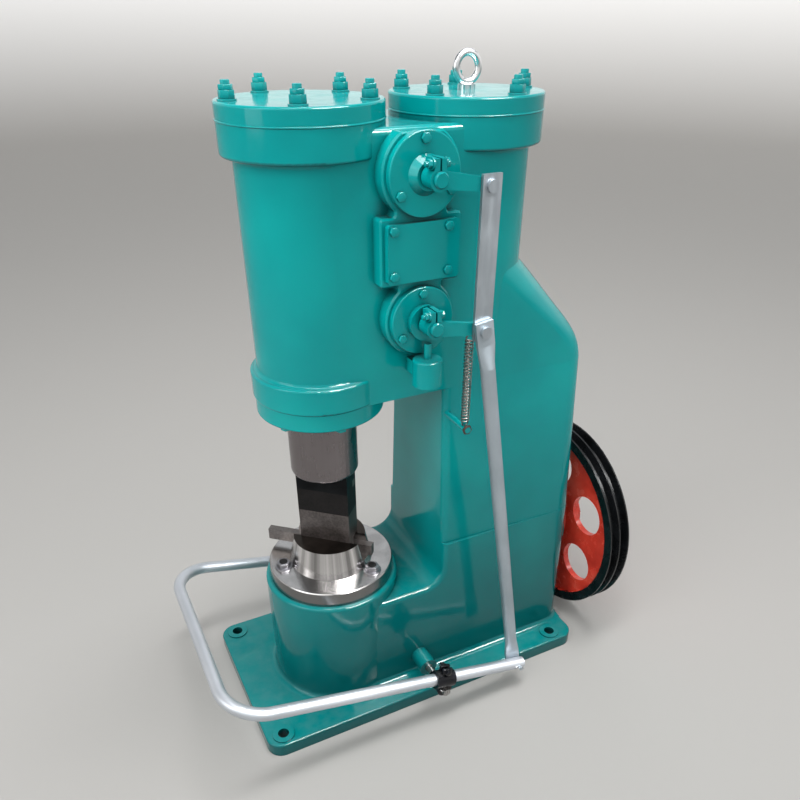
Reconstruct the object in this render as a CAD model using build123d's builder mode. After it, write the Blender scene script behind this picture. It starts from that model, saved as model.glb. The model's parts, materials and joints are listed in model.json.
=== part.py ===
from build123d import *
from math import atan, cos, radians, sin, sqrt, tan
import os

os.makedirs("parts", exist_ok=True)

# Pneumatic forging hammer: one frame casting carries the ram cylinder in front, the compressor
# cylinder behind it, the two rotary valves between them, and the anvil under the ram.
# Millimetres. Origin: centre of the four anchor holes, on the underside of the base.
# +X runs from the anvil to the drive pulley, -Y is the side of the valve levers, +Z is up.

# Clearances
run_gap = 0.05          # radial, shaft or pin in its bearing
slide_gap = 0.3         # between faces that move past each other
seat_gap = 0.3          # round piece in a machined recess
overrun = 20.0          # how far blanks and cuts run past the face they leave

# Base plate
plate_length = 800.0
plate_width = 414.0
plate_thickness = 32.0
plate_corner_r = 34.0
plate_edge_r = 5.0
plate_shift = 10.0
anchor_spacing_x = 704.0
anchor_spacing_y = 352.0
anchor_hole_r = 12.0
anchor_pad_r = 24.0
anchor_pad_height = 3.0

# Cylinder axes
ram_x = -152.0
cylinder_spacing = 295.0
comp_x = ram_x + cylinder_spacing

# Anvil pot and the neck that joins it to the column
pot_r = 146.0
pot_height = 300.0
pot_rim_r = 8.0
neck_step = 28.0
neck_blend_r = 45.0
neck_edge_r = 12.0
foot_blend_r = 18.0
foot_lip = 0.5          # left square at the edge of a blend
foot_lean = 2.0         # the blend ends this far inside the leaning side of the column

# Column
column_front_x = 58.0
rear_x = 410.0
low_half_width = 141.0
ledge_half_width = 136.0
ledge_height = 378.0
ledge_depth = 7.0
top_half_width = 112.0
front_corner_r = 14.0
rear_corner_r = 42.0
shoulder_corner_r = 110.0
shoulder_x = 394.0
shoulder_z = 775.0
shoulder_slope = 0.8367         # run of the shoulder for each unit of its height
shoulder_inset = 4.0            # how far the shoulder's top ends inside the cylinder wall
shoulder_steps = 6

# Cylinders and their flanges
joint_z = 1190.0
throat_z = 736.0
block_drop = 8.0
block_edge_r = 10.0
wall_r = 112.0
top_flange_r = 131.0
top_flange_thickness = 50.0
low_flange_r = 124.5
low_flange_thickness = 50.0
flange_edge_r = 5.0
flange_blend_r = 6.0
ram_bore_r = 75.3
cover_r = 131.0
cover_thickness = 26.0
cover_edge_r = 4.0
gland_r = 121.0
gland_thickness = 34.0
gland_edge_r = 4.0

# Ram and dies, turned about the ram axis so that long work passes beside the column
die_turn = -42.0
ram_r = 68.0
ram_end_r = 9.0
piston_r = ram_bore_r - slide_gap
piston_height = 150.0
piston_low_z = 800.0
ring_groove_width = 5.0
ring_groove_depth = 4.0
ring_count = 3
ring_pitch = 15.0
die_length = 110.0
die_width = 52.0
die_holder_height = 44.0
die_height = 52.0
lower_die_rise = 69.0
tenon_width = 26.0
tenon_height = 16.0
die_key_width = 12.0

# Anvil
cone_top_r = 77.0
cone_base_r = 90.0
cone_height = 61.0
anvil_spigot_r = 88.0
anvil_spigot_depth = 150.0
clamp_ring_r = 135.0
clamp_ring_thickness = 33.0
anvil_top_z = pot_height + clamp_ring_thickness + cone_height
die_face_z = anvil_top_z + lower_die_rise
ram_low_z = die_face_z + die_height + die_holder_height
anvil_slot_depth = 44.0
anvil_slot_shift = -5.0
lower_tenon_width = 24.0
lower_key_width = 16.0
lower_key_length = 240.0
lower_key_shift = -25.0
lower_key_drop = 18.0

# Valve chest on the lever side
valve_x = -12.0
valve_low_z = 892.0
valve_spacing = 228.0
valve_high_z = valve_low_z + valve_spacing
chest_depth = 26.0
high_boss_r = 69.0
boss_drop = 3.0
low_boss_r = 65.0
high_cover_r = 62.0
low_cover_r = 58.0
valve_cover_thickness = 12.0
valve_edge_r = 2.5
chest_plate_width = 130.0
chest_plate_height = 92.0
chest_plate_thickness = 12.0
chest_pad_margin = 8.0
chest_edge = 3.0
chest_corner_r = 6.0
valve_gland_r = 30.0
valve_gland_thickness = 12.0
cone_gland_r = 21.0
valve_shaft_r = 12.0
valve_shaft_depth = 60.0
shaft_proud = 6.0
shaft_end_chamfer = 2.0
far_boss_depth = 14.0

# Valve levers and the bar that joins them
lever_length = 88.0
lever_droop = 9.0
hub_r = 17.0
hub_length = 30.0
hub_gap = 4.0
lever_thickness = 10.0
lever_root_height = 26.0
lever_end_r = 10.0
link_bar_width = 34.0
link_bar_thickness = 6.0
link_pin_r = 6.0
link_pin_head_r = 10.0
link_pin_head = 5.0
washer_gap = 0.5
head_gap = 1.5
open_pivot_gap = 0.4
ear_height = 16.0
ear_width = 20.0
ear_slot = 3.0

# Treadle: a bent pipe round the anvil, tilted up towards the front
pipe_r = 13.4
treadle_half_span = 251.0
treadle_front_x = -466.0
treadle_bend_r = 84.0
treadle_tilt = 13.2
pivot_x = 0.0
pivot_z = 80.0
pivot_rise = 27.0
pivot_pin_r = 9.0
pivot_boss_r = 21.0
pivot_boss_reach = 186.0
pivot_pin_depth = 60.0
pin_proud = 10.0
clamp_r = 20.0
clamp_length = 46.0
lug_r = 17.0
lug_thickness = 20.0
treadle_rear_x = 214.0
treadle_foot_x = 200.0

# Pipe from the treadle to the lower lever
tube_r = 13.4
tube_flat_thickness = 7.0
tube_flat_length = 42.0
tube_flat_inside = 25.0    # flat from the pin to where the pipe starts to round out
foot_pin_r = 5.0
foot_pin_inside = 16.0
foot_pin_outside = 8.0
foot_gap = 1.0
foot_pin_slack = 2.0     # radial, in the hole of the tube's foot

# Return spring
spring_r = 7.5
spring_length = 190.0
spring_arm = 78.0
spring_hook = 8.0
spring_clearance = 3.0
spring_anchor_r = 6.0
anchor_pin_depth = 30.0
anchor_pin_proud = 6.0

# Oil cup under the lower valve
cup_r = 26.0
cup_height = 48.0
cup_edge_r = 4.0
cup_feed_r = 6.5
cup_feed_height = 27.0
cup_top_z = 832.0
cup_reach = 56.0
cup_arm_width = 24.0
cup_arm_height = 26.0
cup_arm_low = 6.0

# Drive pulley
crank_z = 262.0
pulley_r = 238.0
pulley_rim_inner_r = 215.0
pulley_front_x = 445.0
groove_pitch = 25.5
groove_count = 2
rim_width = 54.0
groove_depth = 17.0
groove_top_width = 22.0
groove_bottom_width = 12.0
web_thickness = 14.0
web_recess = 7.0
web_hole_r = 48.0
web_hole_turn = 33.0
web_hole_circle_r = 146.0
web_hole_count = 6
hub_outer_r = 58.0
web_inner_r = 64.0
hub_front_x = 436.0
hub_rear_x = 502.0
crank_r = 25.0
bearing_r = 88.0
bearing_thickness = 18.0
crank_nut_r = 38.0
crank_nut_height = 18.0
crank_depth = 60.0
crank_proud = 6.0

# Lifting eye
eye_inner_r = 15.0
eye_section_r = 6.0
eye_collar_r = 15.0
eye_collar_height = 8.0

# Worked out
neck_height = pot_height - neck_step
block_top_z = joint_z - block_drop
rear_lean = (rear_x - shoulder_x) / shoulder_z
shoulder_turn = atan(shoulder_slope) - atan(rear_lean)
shoulder_tangent = shoulder_corner_r * tan(shoulder_turn / 2)
shoulder_arc_low_z = shoulder_z - shoulder_tangent * cos(atan(rear_lean))
shoulder_arc_high_z = shoulder_z + shoulder_tangent * cos(atan(shoulder_slope))
shoulder_arc_z = shoulder_arc_low_z - shoulder_corner_r * sin(atan(rear_lean))
shoulder_arc_x = (rear_x - shoulder_arc_low_z * rear_lean
                  - shoulder_corner_r * cos(atan(rear_lean)))
shoulder_end_r = min(wall_r, top_half_width) - 2 * shoulder_inset
shoulder_end_z = shoulder_z + (shoulder_x - comp_x - shoulder_end_r) / shoulder_slope
chest_y = -(top_half_width + chest_depth)
cover_face_y = chest_y - valve_cover_thickness
gland_face_y = cover_face_y - valve_gland_thickness
lever_back_y = gland_face_y - hub_gap - hub_length + lever_thickness
lever_face_y = lever_back_y - lever_thickness
hub_back_y = lever_face_y + hub_length
bar_back_y = lever_face_y - washer_gap
bar_face_y = bar_back_y - link_bar_thickness
head_back_y = bar_face_y - head_gap
head_face_y = head_back_y - tube_flat_thickness
lever_end_dx = lever_length * cos(radians(lever_droop))
lever_end_dz = -lever_length * sin(radians(lever_droop))
low_pin_x = valve_x + lever_end_dx
low_pin_z = valve_low_z + lever_end_dz
high_pin_z = valve_high_z + lever_end_dz
arm_slope = tan(radians(treadle_tilt))
arm_z_at_pivot = pivot_z + pivot_rise / cos(radians(treadle_tilt))
foot_z = arm_z_at_pivot - (treadle_foot_x - pivot_x) * arm_slope
spring_low_z = low_pin_z - spring_length
spring_y = lever_back_y + spring_r + spring_clearance


def axis_z(x):
    return Axis((x, 0, 0), (0, 0, 1))


def section_at(x):
    # XZ plane whose origin lies on a vertical axis
    return Plane(origin=(x, 0, 0), x_dir=(1, 0, 0), z_dir=(0, -1, 0))


def save(builder, name):
    builder.part.label = name
    export_step(builder.part, f"parts/{name}.step")


def rear_at(z):
    # side outline of the column's rear: upright, rounded shoulder, then the slope
    if z <= shoulder_arc_low_z:
        return rear_x - z * rear_lean
    if z >= shoulder_arc_high_z:
        return shoulder_x - (z - shoulder_z) * shoulder_slope
    return shoulder_arc_x + sqrt(shoulder_corner_r ** 2 - (z - shoulder_arc_z) ** 2)


def column_section(z, front_x, front_half, rear_half, front_r, rear_r):
    # outline of the column in plan, with its corners rounded
    with BuildSketch(Plane.XY.offset(z)) as section:
        with BuildLine():
            Polyline(
                (front_x, -front_half), (rear_at(z), -rear_half), (rear_at(z), rear_half),
                (front_x, front_half), close=True)
        make_face()
        fillet(section.vertices().group_by(Axis.X)[-1], radius=rear_r)
        if front_r > 0:
            fillet(section.vertices().group_by(Axis.X)[0], radius=front_r)
    return section.sketch


def shoulder_section(z):
    # the rear corners open out until they match the compressor cylinder
    share = (z - throat_z) / (shoulder_end_z - throat_z)
    corner_r = rear_corner_r + share * (shoulder_end_r - rear_corner_r)
    half = top_half_width - share * shoulder_inset
    return column_section(z, column_front_x, half, half, front_corner_r, corner_r)


# Lower body: the column's foot and the neck to the pot, under one hollow curve
with BuildPart() as lower_body:
    loft(sections=[
        column_section(0, ram_x, low_half_width, low_half_width, 0, rear_corner_r),
        column_section(ledge_height, ram_x, ledge_half_width, ledge_half_width, 0, rear_corner_r)],
        ruled=True)
    with BuildSketch(Plane.XZ):
        with BuildLine():
            Polyline(
                (ram_x - overrun, neck_height), (column_front_x, neck_height),
                (column_front_x, ledge_height + overrun), (ram_x - overrun, ledge_height + overrun),
                close=True)
        make_face()
        fillet(vertices().group_by(Axis.X)[-1].group_by(Axis.Y)[0], radius=neck_blend_r)
    extrude(amount=plate_width, both=True, mode=Mode.SUBTRACT)
    hollow = faces().filter_by(GeomType.CYLINDER).sort_by(Axis.X)[0]
    fillet(hollow.edges().filter_by(Axis.Y, reverse=True), radius=neck_edge_r)

# Column above the ledge, with the shoulder that runs into the compressor cylinder
with BuildPart() as column:
    loft(sections=[
        column_section(ledge_height, column_front_x, ledge_half_width - ledge_depth, ledge_half_width,
                       front_corner_r, rear_corner_r),
        column_section(throat_z, column_front_x, top_half_width, top_half_width,
                       front_corner_r, rear_corner_r)],
        ruled=True)
    loft(sections=[
        shoulder_section(throat_z + step * (shoulder_end_z - throat_z) / shoulder_steps)
        for step in range(shoulder_steps + 1)])

# Block that joins the two cylinders over the throat
with BuildPart() as cylinder_block:
    with BuildSketch(Plane.XY.offset(throat_z)):
        with Locations(((ram_x + comp_x) / 2, 0)):
            Rectangle(cylinder_spacing, 2 * top_half_width)
    extrude(amount=block_top_z - throat_z)
    fillet(edges().group_by(Axis.Z)[-1].filter_by(Axis.X), radius=block_edge_r)

# Valve bosses and pad of the chest on the lever side, plain bosses on the far side
chest_height = (valve_high_z + valve_low_z) / 2
with BuildPart() as valve_chest:
    with BuildSketch(Plane.XZ):
        with Locations((valve_x, valve_high_z)):
            Circle(high_boss_r)
        with Locations((valve_x, valve_low_z)):
            Circle(low_boss_r)
        with Locations((valve_x, chest_height)):
            Rectangle(chest_plate_width + 2 * chest_pad_margin, chest_plate_height + 2 * chest_pad_margin)
        with Locations((valve_x, block_top_z - boss_drop + high_boss_r / 2)):
            Rectangle(2 * high_boss_r, high_boss_r, mode=Mode.SUBTRACT)
        fillet(vertices(), radius=chest_corner_r)
    extrude(amount=top_half_width + chest_depth)
    chamfer(edges().group_by(Axis.Y)[0], length=chest_edge)

with BuildPart() as far_bosses:
    with BuildSketch(Plane.XZ):
        with Locations((valve_x, valve_high_z)):
            Circle(high_boss_r)
        with Locations((valve_x, valve_low_z)):
            Circle(low_boss_r)
        with Locations((valve_x, block_top_z - boss_drop + high_boss_r / 2)):
            Rectangle(2 * high_boss_r, high_boss_r, mode=Mode.SUBTRACT)
    extrude(amount=-(top_half_width + far_boss_depth))
    chamfer(edges().group_by(Axis.Y)[-1], length=chest_edge)

# Frame casting
with BuildPart() as frame_casting:
    with BuildSketch():
        with Locations((plate_shift, 0)):
            RectangleRounded(plate_length, plate_width, plate_corner_r)
    extrude(amount=plate_thickness)
    fillet(edges().group_by(Axis.Z)[-1], radius=plate_edge_r)
    # pot of the anvil, with its blend into the plate
    with BuildSketch(section_at(ram_x)):
        with BuildLine():
            Polyline(
                (0, 0), (pot_r + foot_blend_r, 0), (pot_r + foot_blend_r, plate_thickness),
                (pot_r, plate_thickness), (pot_r, pot_height), (0, pot_height), close=True)
        make_face()
        fillet(vertices().filter_by_position(Axis.X, pot_r - 1, pot_r + 1).group_by(Axis.Y)[0],
               radius=foot_blend_r - foot_lip)
        fillet(vertices().group_by(Axis.Y)[-1].sort_by(Axis.X)[-1], radius=pot_rim_r)
    revolve(axis=axis_z(ram_x))
    add(lower_body.part)
    add(column.part)
    # blends along the foot, round the rear corners and flush with the end of the plate
    for side in (-1, 1):
        with BuildSketch(Plane.YZ.offset(ram_x)):
            with BuildLine():
                Polyline(
                    (side * (low_half_width - foot_blend_r), 0),
                    (side * (low_half_width + foot_blend_r), 0),
                    (side * (low_half_width + foot_blend_r), plate_thickness),
                    (side * (low_half_width - foot_lean), plate_thickness),
                    (side * (low_half_width - foot_lean), plate_thickness + foot_blend_r),
                    (side * (low_half_width - foot_blend_r), plate_thickness + foot_blend_r), close=True)
            make_face()
            fillet(vertices().filter_by_position(Axis.Y, plate_thickness - 1, plate_thickness + 1)
                   .sort_by(lambda corner: abs(corner.X))[0], radius=foot_blend_r - foot_lip)
        extrude(amount=rear_x - rear_corner_r - ram_x)
        corner_axis = (rear_x - rear_corner_r, side * (low_half_width - rear_corner_r))
        with BuildSketch(Plane(origin=(*corner_axis, 0), x_dir=(0, side, 0), z_dir=(side, 0, 0))):
            with BuildLine():
                Polyline(
                    (0, 0), (rear_corner_r + foot_blend_r, 0),
                    (rear_corner_r + foot_blend_r, plate_thickness),
                    (rear_corner_r - foot_lean, plate_thickness),
                    (rear_corner_r - foot_lean, plate_thickness + foot_blend_r),
                    (0, plate_thickness + foot_blend_r), close=True)
            make_face()
            fillet(vertices().filter_by_position(Axis.Y, plate_thickness - 1, plate_thickness + 1)
                   .sort_by(Axis.X)[0], radius=foot_blend_r - foot_lip)
        revolve(axis=Axis((*corner_axis, 0), (0, 0, 1)))
    with BuildSketch(Plane.YZ.offset(plate_shift + plate_length / 2)):
        with Locations((0, plate_thickness)):
            Rectangle(plate_width + overrun, 2 * (plate_thickness + foot_blend_r))
    extrude(amount=2 * overrun, mode=Mode.SUBTRACT)
    add(cylinder_block.part)
    # ram cylinder
    with BuildSketch(section_at(ram_x)):
        with BuildLine():
            Polyline(
                (0, throat_z), (low_flange_r, throat_z), (low_flange_r, throat_z + low_flange_thickness),
                (wall_r, throat_z + low_flange_thickness), (wall_r, joint_z - top_flange_thickness),
                (top_flange_r, joint_z - top_flange_thickness), (top_flange_r, joint_z), (0, joint_z),
                close=True)
        make_face()
        fillet(vertices().filter_by_position(Axis.X, wall_r - 1, wall_r + 1),
               radius=min(flange_blend_r, (min(low_flange_r, top_flange_r) - wall_r) / 2))
        fillet(vertices().filter_by_position(Axis.X, low_flange_r - 1, low_flange_r + 1),
               radius=min(flange_edge_r, (low_flange_r - wall_r) / 2.5))
        fillet(vertices().filter_by_position(Axis.X, top_flange_r - 1, top_flange_r + 1)
               .group_by(Axis.Y)[0], radius=flange_edge_r)
    revolve(axis=axis_z(ram_x))
    # compressor cylinder
    with BuildSketch(section_at(comp_x)):
        with BuildLine():
            Polyline(
                (0, throat_z), (wall_r, throat_z), (wall_r, joint_z - top_flange_thickness),
                (top_flange_r, joint_z - top_flange_thickness), (top_flange_r, joint_z), (0, joint_z),
                close=True)
        make_face()
        fillet(vertices().filter_by_position(Axis.X, wall_r - 1, wall_r + 1).group_by(Axis.Y)[-1],
               radius=min(flange_blend_r, (top_flange_r - wall_r) / 2))
        fillet(vertices().filter_by_position(Axis.X, top_flange_r - 1, top_flange_r + 1)
               .group_by(Axis.Y)[0], radius=flange_edge_r)
    revolve(axis=axis_z(comp_x))
    add(valve_chest.part)
    add(far_bosses.part)
    # treadle pivot bosses
    with BuildSketch(Plane.XZ):
        with Locations((pivot_x, pivot_z)):
            Circle(pivot_boss_r)
    extrude(amount=pivot_boss_reach, both=True)
    # anchor pads
    with BuildSketch(Plane.XY.offset(plate_thickness)):
        with GridLocations(anchor_spacing_x, anchor_spacing_y, 2, 2):
            Circle(anchor_pad_r)
    extrude(amount=anchor_pad_height)
    with GridLocations(anchor_spacing_x, anchor_spacing_y, 2, 2):
        with Locations((0, 0, plate_thickness + anchor_pad_height)):
            Hole(anchor_hole_r)
    # bore for the ram and its piston
    with BuildSketch(Plane.XY.offset(throat_z)):
        with Locations((ram_x, 0)):
            Circle(ram_bore_r)
    extrude(amount=joint_z - throat_z, mode=Mode.SUBTRACT)
    # recess that takes the anvil spigot
    with BuildSketch(Plane.XY.offset(pot_height - anvil_spigot_depth)):
        with Locations((ram_x, 0)):
            Circle(anvil_spigot_r + seat_gap)
    extrude(amount=anvil_spigot_depth, mode=Mode.SUBTRACT)
    # bearings of the two valve shafts
    with BuildSketch(Plane.XZ.offset(-chest_y - valve_shaft_depth)):
        with Locations((valve_x, valve_high_z), (valve_x, valve_low_z)):
            Circle(valve_shaft_r + run_gap)
    extrude(amount=valve_shaft_depth, mode=Mode.SUBTRACT)
    # seat of the spring anchor
    with BuildSketch(Plane.XZ.offset(top_half_width - anchor_pin_depth)):
        with Locations((valve_x + spring_arm, spring_low_z - spring_anchor_r - seat_gap)):
            Circle(spring_anchor_r + run_gap)
    extrude(amount=2 * anchor_pin_depth, mode=Mode.SUBTRACT)
    # seats of the pivot pins
    with BuildSketch(Plane.XZ):
        with Locations((pivot_x, pivot_z)):
            Circle(pivot_pin_r + run_gap)
    extrude(amount=pivot_boss_reach, both=True, mode=Mode.SUBTRACT)
    # bearing of the crankshaft
    with BuildSketch(Plane.YZ.offset(rear_x - crank_depth - overrun)):
        with Locations((0, crank_z)):
            Circle(crank_r + run_gap)
    extrude(amount=crank_depth + 2 * overrun, mode=Mode.SUBTRACT)
save(frame_casting, "frame_casting")

# Cylinder covers
for cover_name, cover_x in (("ram_cylinder_cover", ram_x), ("compressor_cylinder_cover", comp_x)):
    with BuildPart() as cylinder_cover:
        with BuildSketch(Plane.XY.offset(joint_z)):
            with Locations((cover_x, 0)):
                Circle(cover_r)
        extrude(amount=cover_thickness)
        fillet(edges().group_by(Axis.Z)[-1], radius=cover_edge_r)
    save(cylinder_cover, cover_name)

# Ram gland under the ram cylinder
with BuildPart() as ram_gland:
    with BuildSketch(Plane.XY.offset(throat_z - gland_thickness)):
        with Locations((ram_x, 0)):
            Circle(gland_r)
            Circle(ram_r + run_gap, mode=Mode.SUBTRACT)
    extrude(amount=gland_thickness)
    fillet(edges().group_by(Axis.Z)[0].sort_by(SortBy.LENGTH)[-1], radius=gland_edge_r)
save(ram_gland, "ram_gland")

# Ram: round shank, piston with ring grooves, and the block that takes the upper die
with BuildPart() as ram:
    with BuildSketch(section_at(ram_x)):
        with BuildLine():
            Polyline(
                (0, ram_low_z), (ram_r, ram_low_z), (ram_r, piston_low_z),
                (piston_r, piston_low_z), (piston_r, piston_low_z + piston_height),
                (0, piston_low_z + piston_height), close=True)
        make_face()
        fillet(vertices().group_by(Axis.Y)[0].sort_by(Axis.X)[-1], radius=ram_end_r)
        for ring in range(ring_count):
            with Locations((piston_r, piston_low_z + piston_height - (ring + 1) * ring_pitch)):
                Rectangle(2 * ring_groove_depth, ring_groove_width, mode=Mode.SUBTRACT)
    revolve(axis=axis_z(ram_x))
    with BuildSketch(Plane.XY.offset(ram_low_z - die_holder_height)):
        with Locations(Location((ram_x, 0), die_turn)):
            Rectangle(die_length, die_width)
    extrude(amount=die_holder_height)
    with BuildSketch(Plane.XY.offset(ram_low_z - die_holder_height)):
        with Locations(Location((ram_x, 0), die_turn)):
            Rectangle(2 * die_length, tenon_width + die_key_width)
    extrude(amount=tenon_height, mode=Mode.SUBTRACT)
save(ram, "ram")

# Upper die with its tenon, and the key beside the tenon
with BuildPart() as upper_die:
    with BuildSketch(Plane.XY.offset(die_face_z)):
        with Locations(Location((ram_x, 0), die_turn)):
            Rectangle(die_length, die_width)
    extrude(amount=die_height)
    with BuildSketch(Plane.XY.offset(die_face_z + die_height)):
        with Locations(Location((ram_x, 0), die_turn)):
            with Locations((0, -die_key_width / 2)):
                Rectangle(die_length, tenon_width)
    extrude(amount=tenon_height)
save(upper_die, "upper_die")

with BuildPart() as upper_die_key:
    with BuildSketch(Plane.XY.offset(die_face_z + die_height)):
        with Locations(Location((ram_x, 0), die_turn)):
            with Locations((0, tenon_width / 2)):
                Rectangle(die_length, die_key_width)
    extrude(amount=tenon_height)
save(upper_die_key, "upper_die_key")

# Anvil cap: cone over the clamp ring, spigot in the pot, slot across the top
with BuildPart() as anvil_cap:
    with BuildSketch(section_at(ram_x)):
        with BuildLine():
            Polyline(
                (0, pot_height - anvil_spigot_depth), (anvil_spigot_r, pot_height - anvil_spigot_depth),
                (anvil_spigot_r, pot_height + clamp_ring_thickness),
                (cone_base_r, pot_height + clamp_ring_thickness), (cone_top_r, anvil_top_z),
                (0, anvil_top_z), close=True)
        make_face()
    revolve(axis=axis_z(ram_x))
    with BuildSketch(Plane.XY.offset(anvil_top_z - anvil_slot_depth)):
        with Locations(Location((ram_x, 0), die_turn)):
            with Locations((0, anvil_slot_shift)):
                Rectangle(3 * cone_base_r, lower_tenon_width + lower_key_width)
    extrude(amount=anvil_slot_depth + overrun, mode=Mode.SUBTRACT)
save(anvil_cap, "anvil_cap")

with BuildPart() as anvil_clamp_ring:
    with BuildSketch(Plane.XY.offset(pot_height)):
        with Locations((ram_x, 0)):
            Circle(clamp_ring_r)
            Circle(anvil_spigot_r + seat_gap, mode=Mode.SUBTRACT)
    extrude(amount=clamp_ring_thickness)
    chamfer(edges().group_by(Axis.Z)[-1].sort_by(SortBy.LENGTH)[-1:], length=2)
save(anvil_clamp_ring, "anvil_clamp_ring")

# Lower die standing in the slot, and its long key
with BuildPart() as lower_die:
    with BuildSketch(Plane.XY.offset(anvil_top_z - anvil_slot_depth)):
        with Locations(Location((ram_x, 0), die_turn)):
            with Locations((0, anvil_slot_shift - lower_key_width / 2)):
                Rectangle(die_length, lower_tenon_width)
    extrude(amount=anvil_slot_depth)
    with BuildSketch(Plane.XY.offset(anvil_top_z)):
        with Locations(Location((ram_x, 0), die_turn)):
            Rectangle(die_length, die_width)
    extrude(amount=die_face_z - anvil_top_z)
save(lower_die, "lower_die")

with BuildPart() as lower_die_key:
    with BuildSketch(Plane.XY.offset(anvil_top_z - anvil_slot_depth)):
        with Locations(Location((ram_x, 0), die_turn)):
            with Locations((lower_key_shift, anvil_slot_shift + lower_tenon_width / 2)):
                Rectangle(lower_key_length, lower_key_width)
    extrude(amount=anvil_slot_depth - lower_key_drop)
save(lower_die_key, "lower_die_key")

# Valve covers and the plate between them
for cover_name, cover_z, radius in (
        ("upper_valve_cover", valve_high_z, high_cover_r), ("lower_valve_cover", valve_low_z, low_cover_r)):
    with BuildPart() as valve_cover:
        with BuildSketch(Plane.XZ.offset(-chest_y)):
            with Locations((valve_x, cover_z)):
                Circle(radius)
                Circle(valve_shaft_r + run_gap, mode=Mode.SUBTRACT)
        extrude(amount=valve_cover_thickness)
        fillet(edges().group_by(Axis.Y)[0].sort_by(SortBy.LENGTH)[-1], radius=valve_edge_r)
    save(valve_cover, cover_name)

with BuildPart() as chest_plate:
    with BuildSketch(Plane.XZ.offset(-chest_y)):
        with Locations((valve_x, (valve_high_z + valve_low_z) / 2)):
            RectangleRounded(chest_plate_width, chest_plate_height, 6)
        with Locations((valve_x, valve_high_z)):
            Circle(high_cover_r + 2, mode=Mode.SUBTRACT)
        with Locations((valve_x, valve_low_z)):
            Circle(low_cover_r + 2, mode=Mode.SUBTRACT)
    extrude(amount=chest_plate_thickness)
save(chest_plate, "chest_plate")

# Shaft glands: a cone on the upper valve, a flat ring on the lower one
for gland_name, gland_z, end_r in (
        ("upper_valve_gland", valve_high_z, cone_gland_r),
        ("lower_valve_gland", valve_low_z, valve_gland_r)):
    with BuildPart() as valve_gland:
        with BuildSketch(Plane.XZ.offset(-cover_face_y)):
            with Locations((valve_x, gland_z)):
                Circle(valve_gland_r)
        with BuildSketch(Plane.XZ.offset(-gland_face_y)):
            with Locations((valve_x, gland_z)):
                Circle(end_r)
        loft()
        with BuildSketch(Plane.XZ.offset(-cover_face_y)):
            with Locations((valve_x, gland_z)):
                Circle(valve_shaft_r + run_gap)
        extrude(amount=valve_gland_thickness, mode=Mode.SUBTRACT)
    save(valve_gland, gland_name)

# Plain covers on the far side
for cover_name, cover_z, radius in (
        ("upper_blind_cover", valve_high_z, high_cover_r), ("lower_blind_cover", valve_low_z, low_cover_r)):
    with BuildPart() as blind_cover:
        with BuildSketch(Plane.XZ.offset(-(top_half_width + far_boss_depth))):
            with Locations((valve_x, cover_z)):
                Circle(radius)
        extrude(amount=-valve_cover_thickness)
        fillet(edges().group_by(Axis.Y)[-1], radius=valve_edge_r)
    save(blind_cover, cover_name)

# Valve shafts
for shaft_name, shaft_z in (("upper_valve_shaft", valve_high_z), ("lower_valve_shaft", valve_low_z)):
    with BuildPart() as valve_shaft:
        with BuildSketch(Plane.XZ.offset(-chest_y - valve_shaft_depth)):
            with Locations((valve_x, shaft_z)):
                Circle(valve_shaft_r)
        extrude(amount=valve_shaft_depth + chest_y - lever_face_y + shaft_proud)
        chamfer(edges().group_by(Axis.Y)[0], length=shaft_end_chamfer)
    save(valve_shaft, shaft_name)

# Valve levers: split hub clamped on the shaft, arm drooping to the link bar
for lever_name, pivot_height, end_height in (
        ("upper_valve_lever", valve_high_z, high_pin_z), ("lower_valve_lever", valve_low_z, low_pin_z)):
    with BuildPart() as lever:
        with BuildSketch(Plane.XZ.offset(-lever_back_y)):
            with BuildLine():
                root_up = Vector(valve_x, pivot_height + lever_root_height / 2)
                root_down = Vector(valve_x, pivot_height - lever_root_height / 2)
                Polyline(
                    root_down, (low_pin_x, end_height - lever_end_r),
                    (low_pin_x, end_height + lever_end_r), root_up, close=True)
            make_face()
            with Locations((low_pin_x, end_height)):
                Circle(lever_end_r)
        extrude(amount=lever_thickness)
        with BuildSketch(Plane.XZ.offset(-hub_back_y)):
            with Locations((valve_x, pivot_height)):
                Circle(hub_r)
            with Locations((valve_x, pivot_height + hub_r + ear_height / 2 - 4)):
                Rectangle(ear_width, ear_height)
        extrude(amount=hub_length)
        with BuildSketch(Plane.XZ.offset(-hub_back_y)):
            with Locations((valve_x, pivot_height)):
                Circle(valve_shaft_r + run_gap)
            with Locations((valve_x, pivot_height + hub_r)):
                Rectangle(ear_slot, ear_height + hub_r)
        extrude(amount=hub_length + 1, mode=Mode.SUBTRACT)
        with BuildSketch(Plane.XZ.offset(-lever_back_y)):
            with Locations((low_pin_x, end_height)):
                Circle(link_pin_r + open_pivot_gap)
        extrude(amount=lever_thickness, mode=Mode.SUBTRACT)
    save(lever, lever_name)

# Flat bar that couples the two levers
with BuildPart() as link_bar:
    with BuildSketch(Plane.XZ.offset(-bar_back_y)):
        with Locations((low_pin_x, (high_pin_z + low_pin_z) / 2)):
            Rectangle(link_bar_width, valve_spacing + link_bar_width)
        with Locations((low_pin_x, high_pin_z), (low_pin_x, low_pin_z)):
            Circle(link_pin_r + run_gap, mode=Mode.SUBTRACT)
    extrude(amount=link_bar_thickness)
save(link_bar, "link_bar")

# Pins of the link bar
with BuildPart() as upper_link_pin:
    with BuildSketch(Plane.XZ.offset(-lever_back_y)):
        with Locations((low_pin_x, high_pin_z)):
            Circle(link_pin_r)
    extrude(amount=lever_back_y - bar_face_y + slide_gap)
    with BuildSketch(Plane.XZ.offset(-bar_face_y + slide_gap)):
        with Locations((low_pin_x, high_pin_z)):
            Circle(link_pin_head_r)
    extrude(amount=link_pin_head)
save(upper_link_pin, "upper_link_pin")

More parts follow.
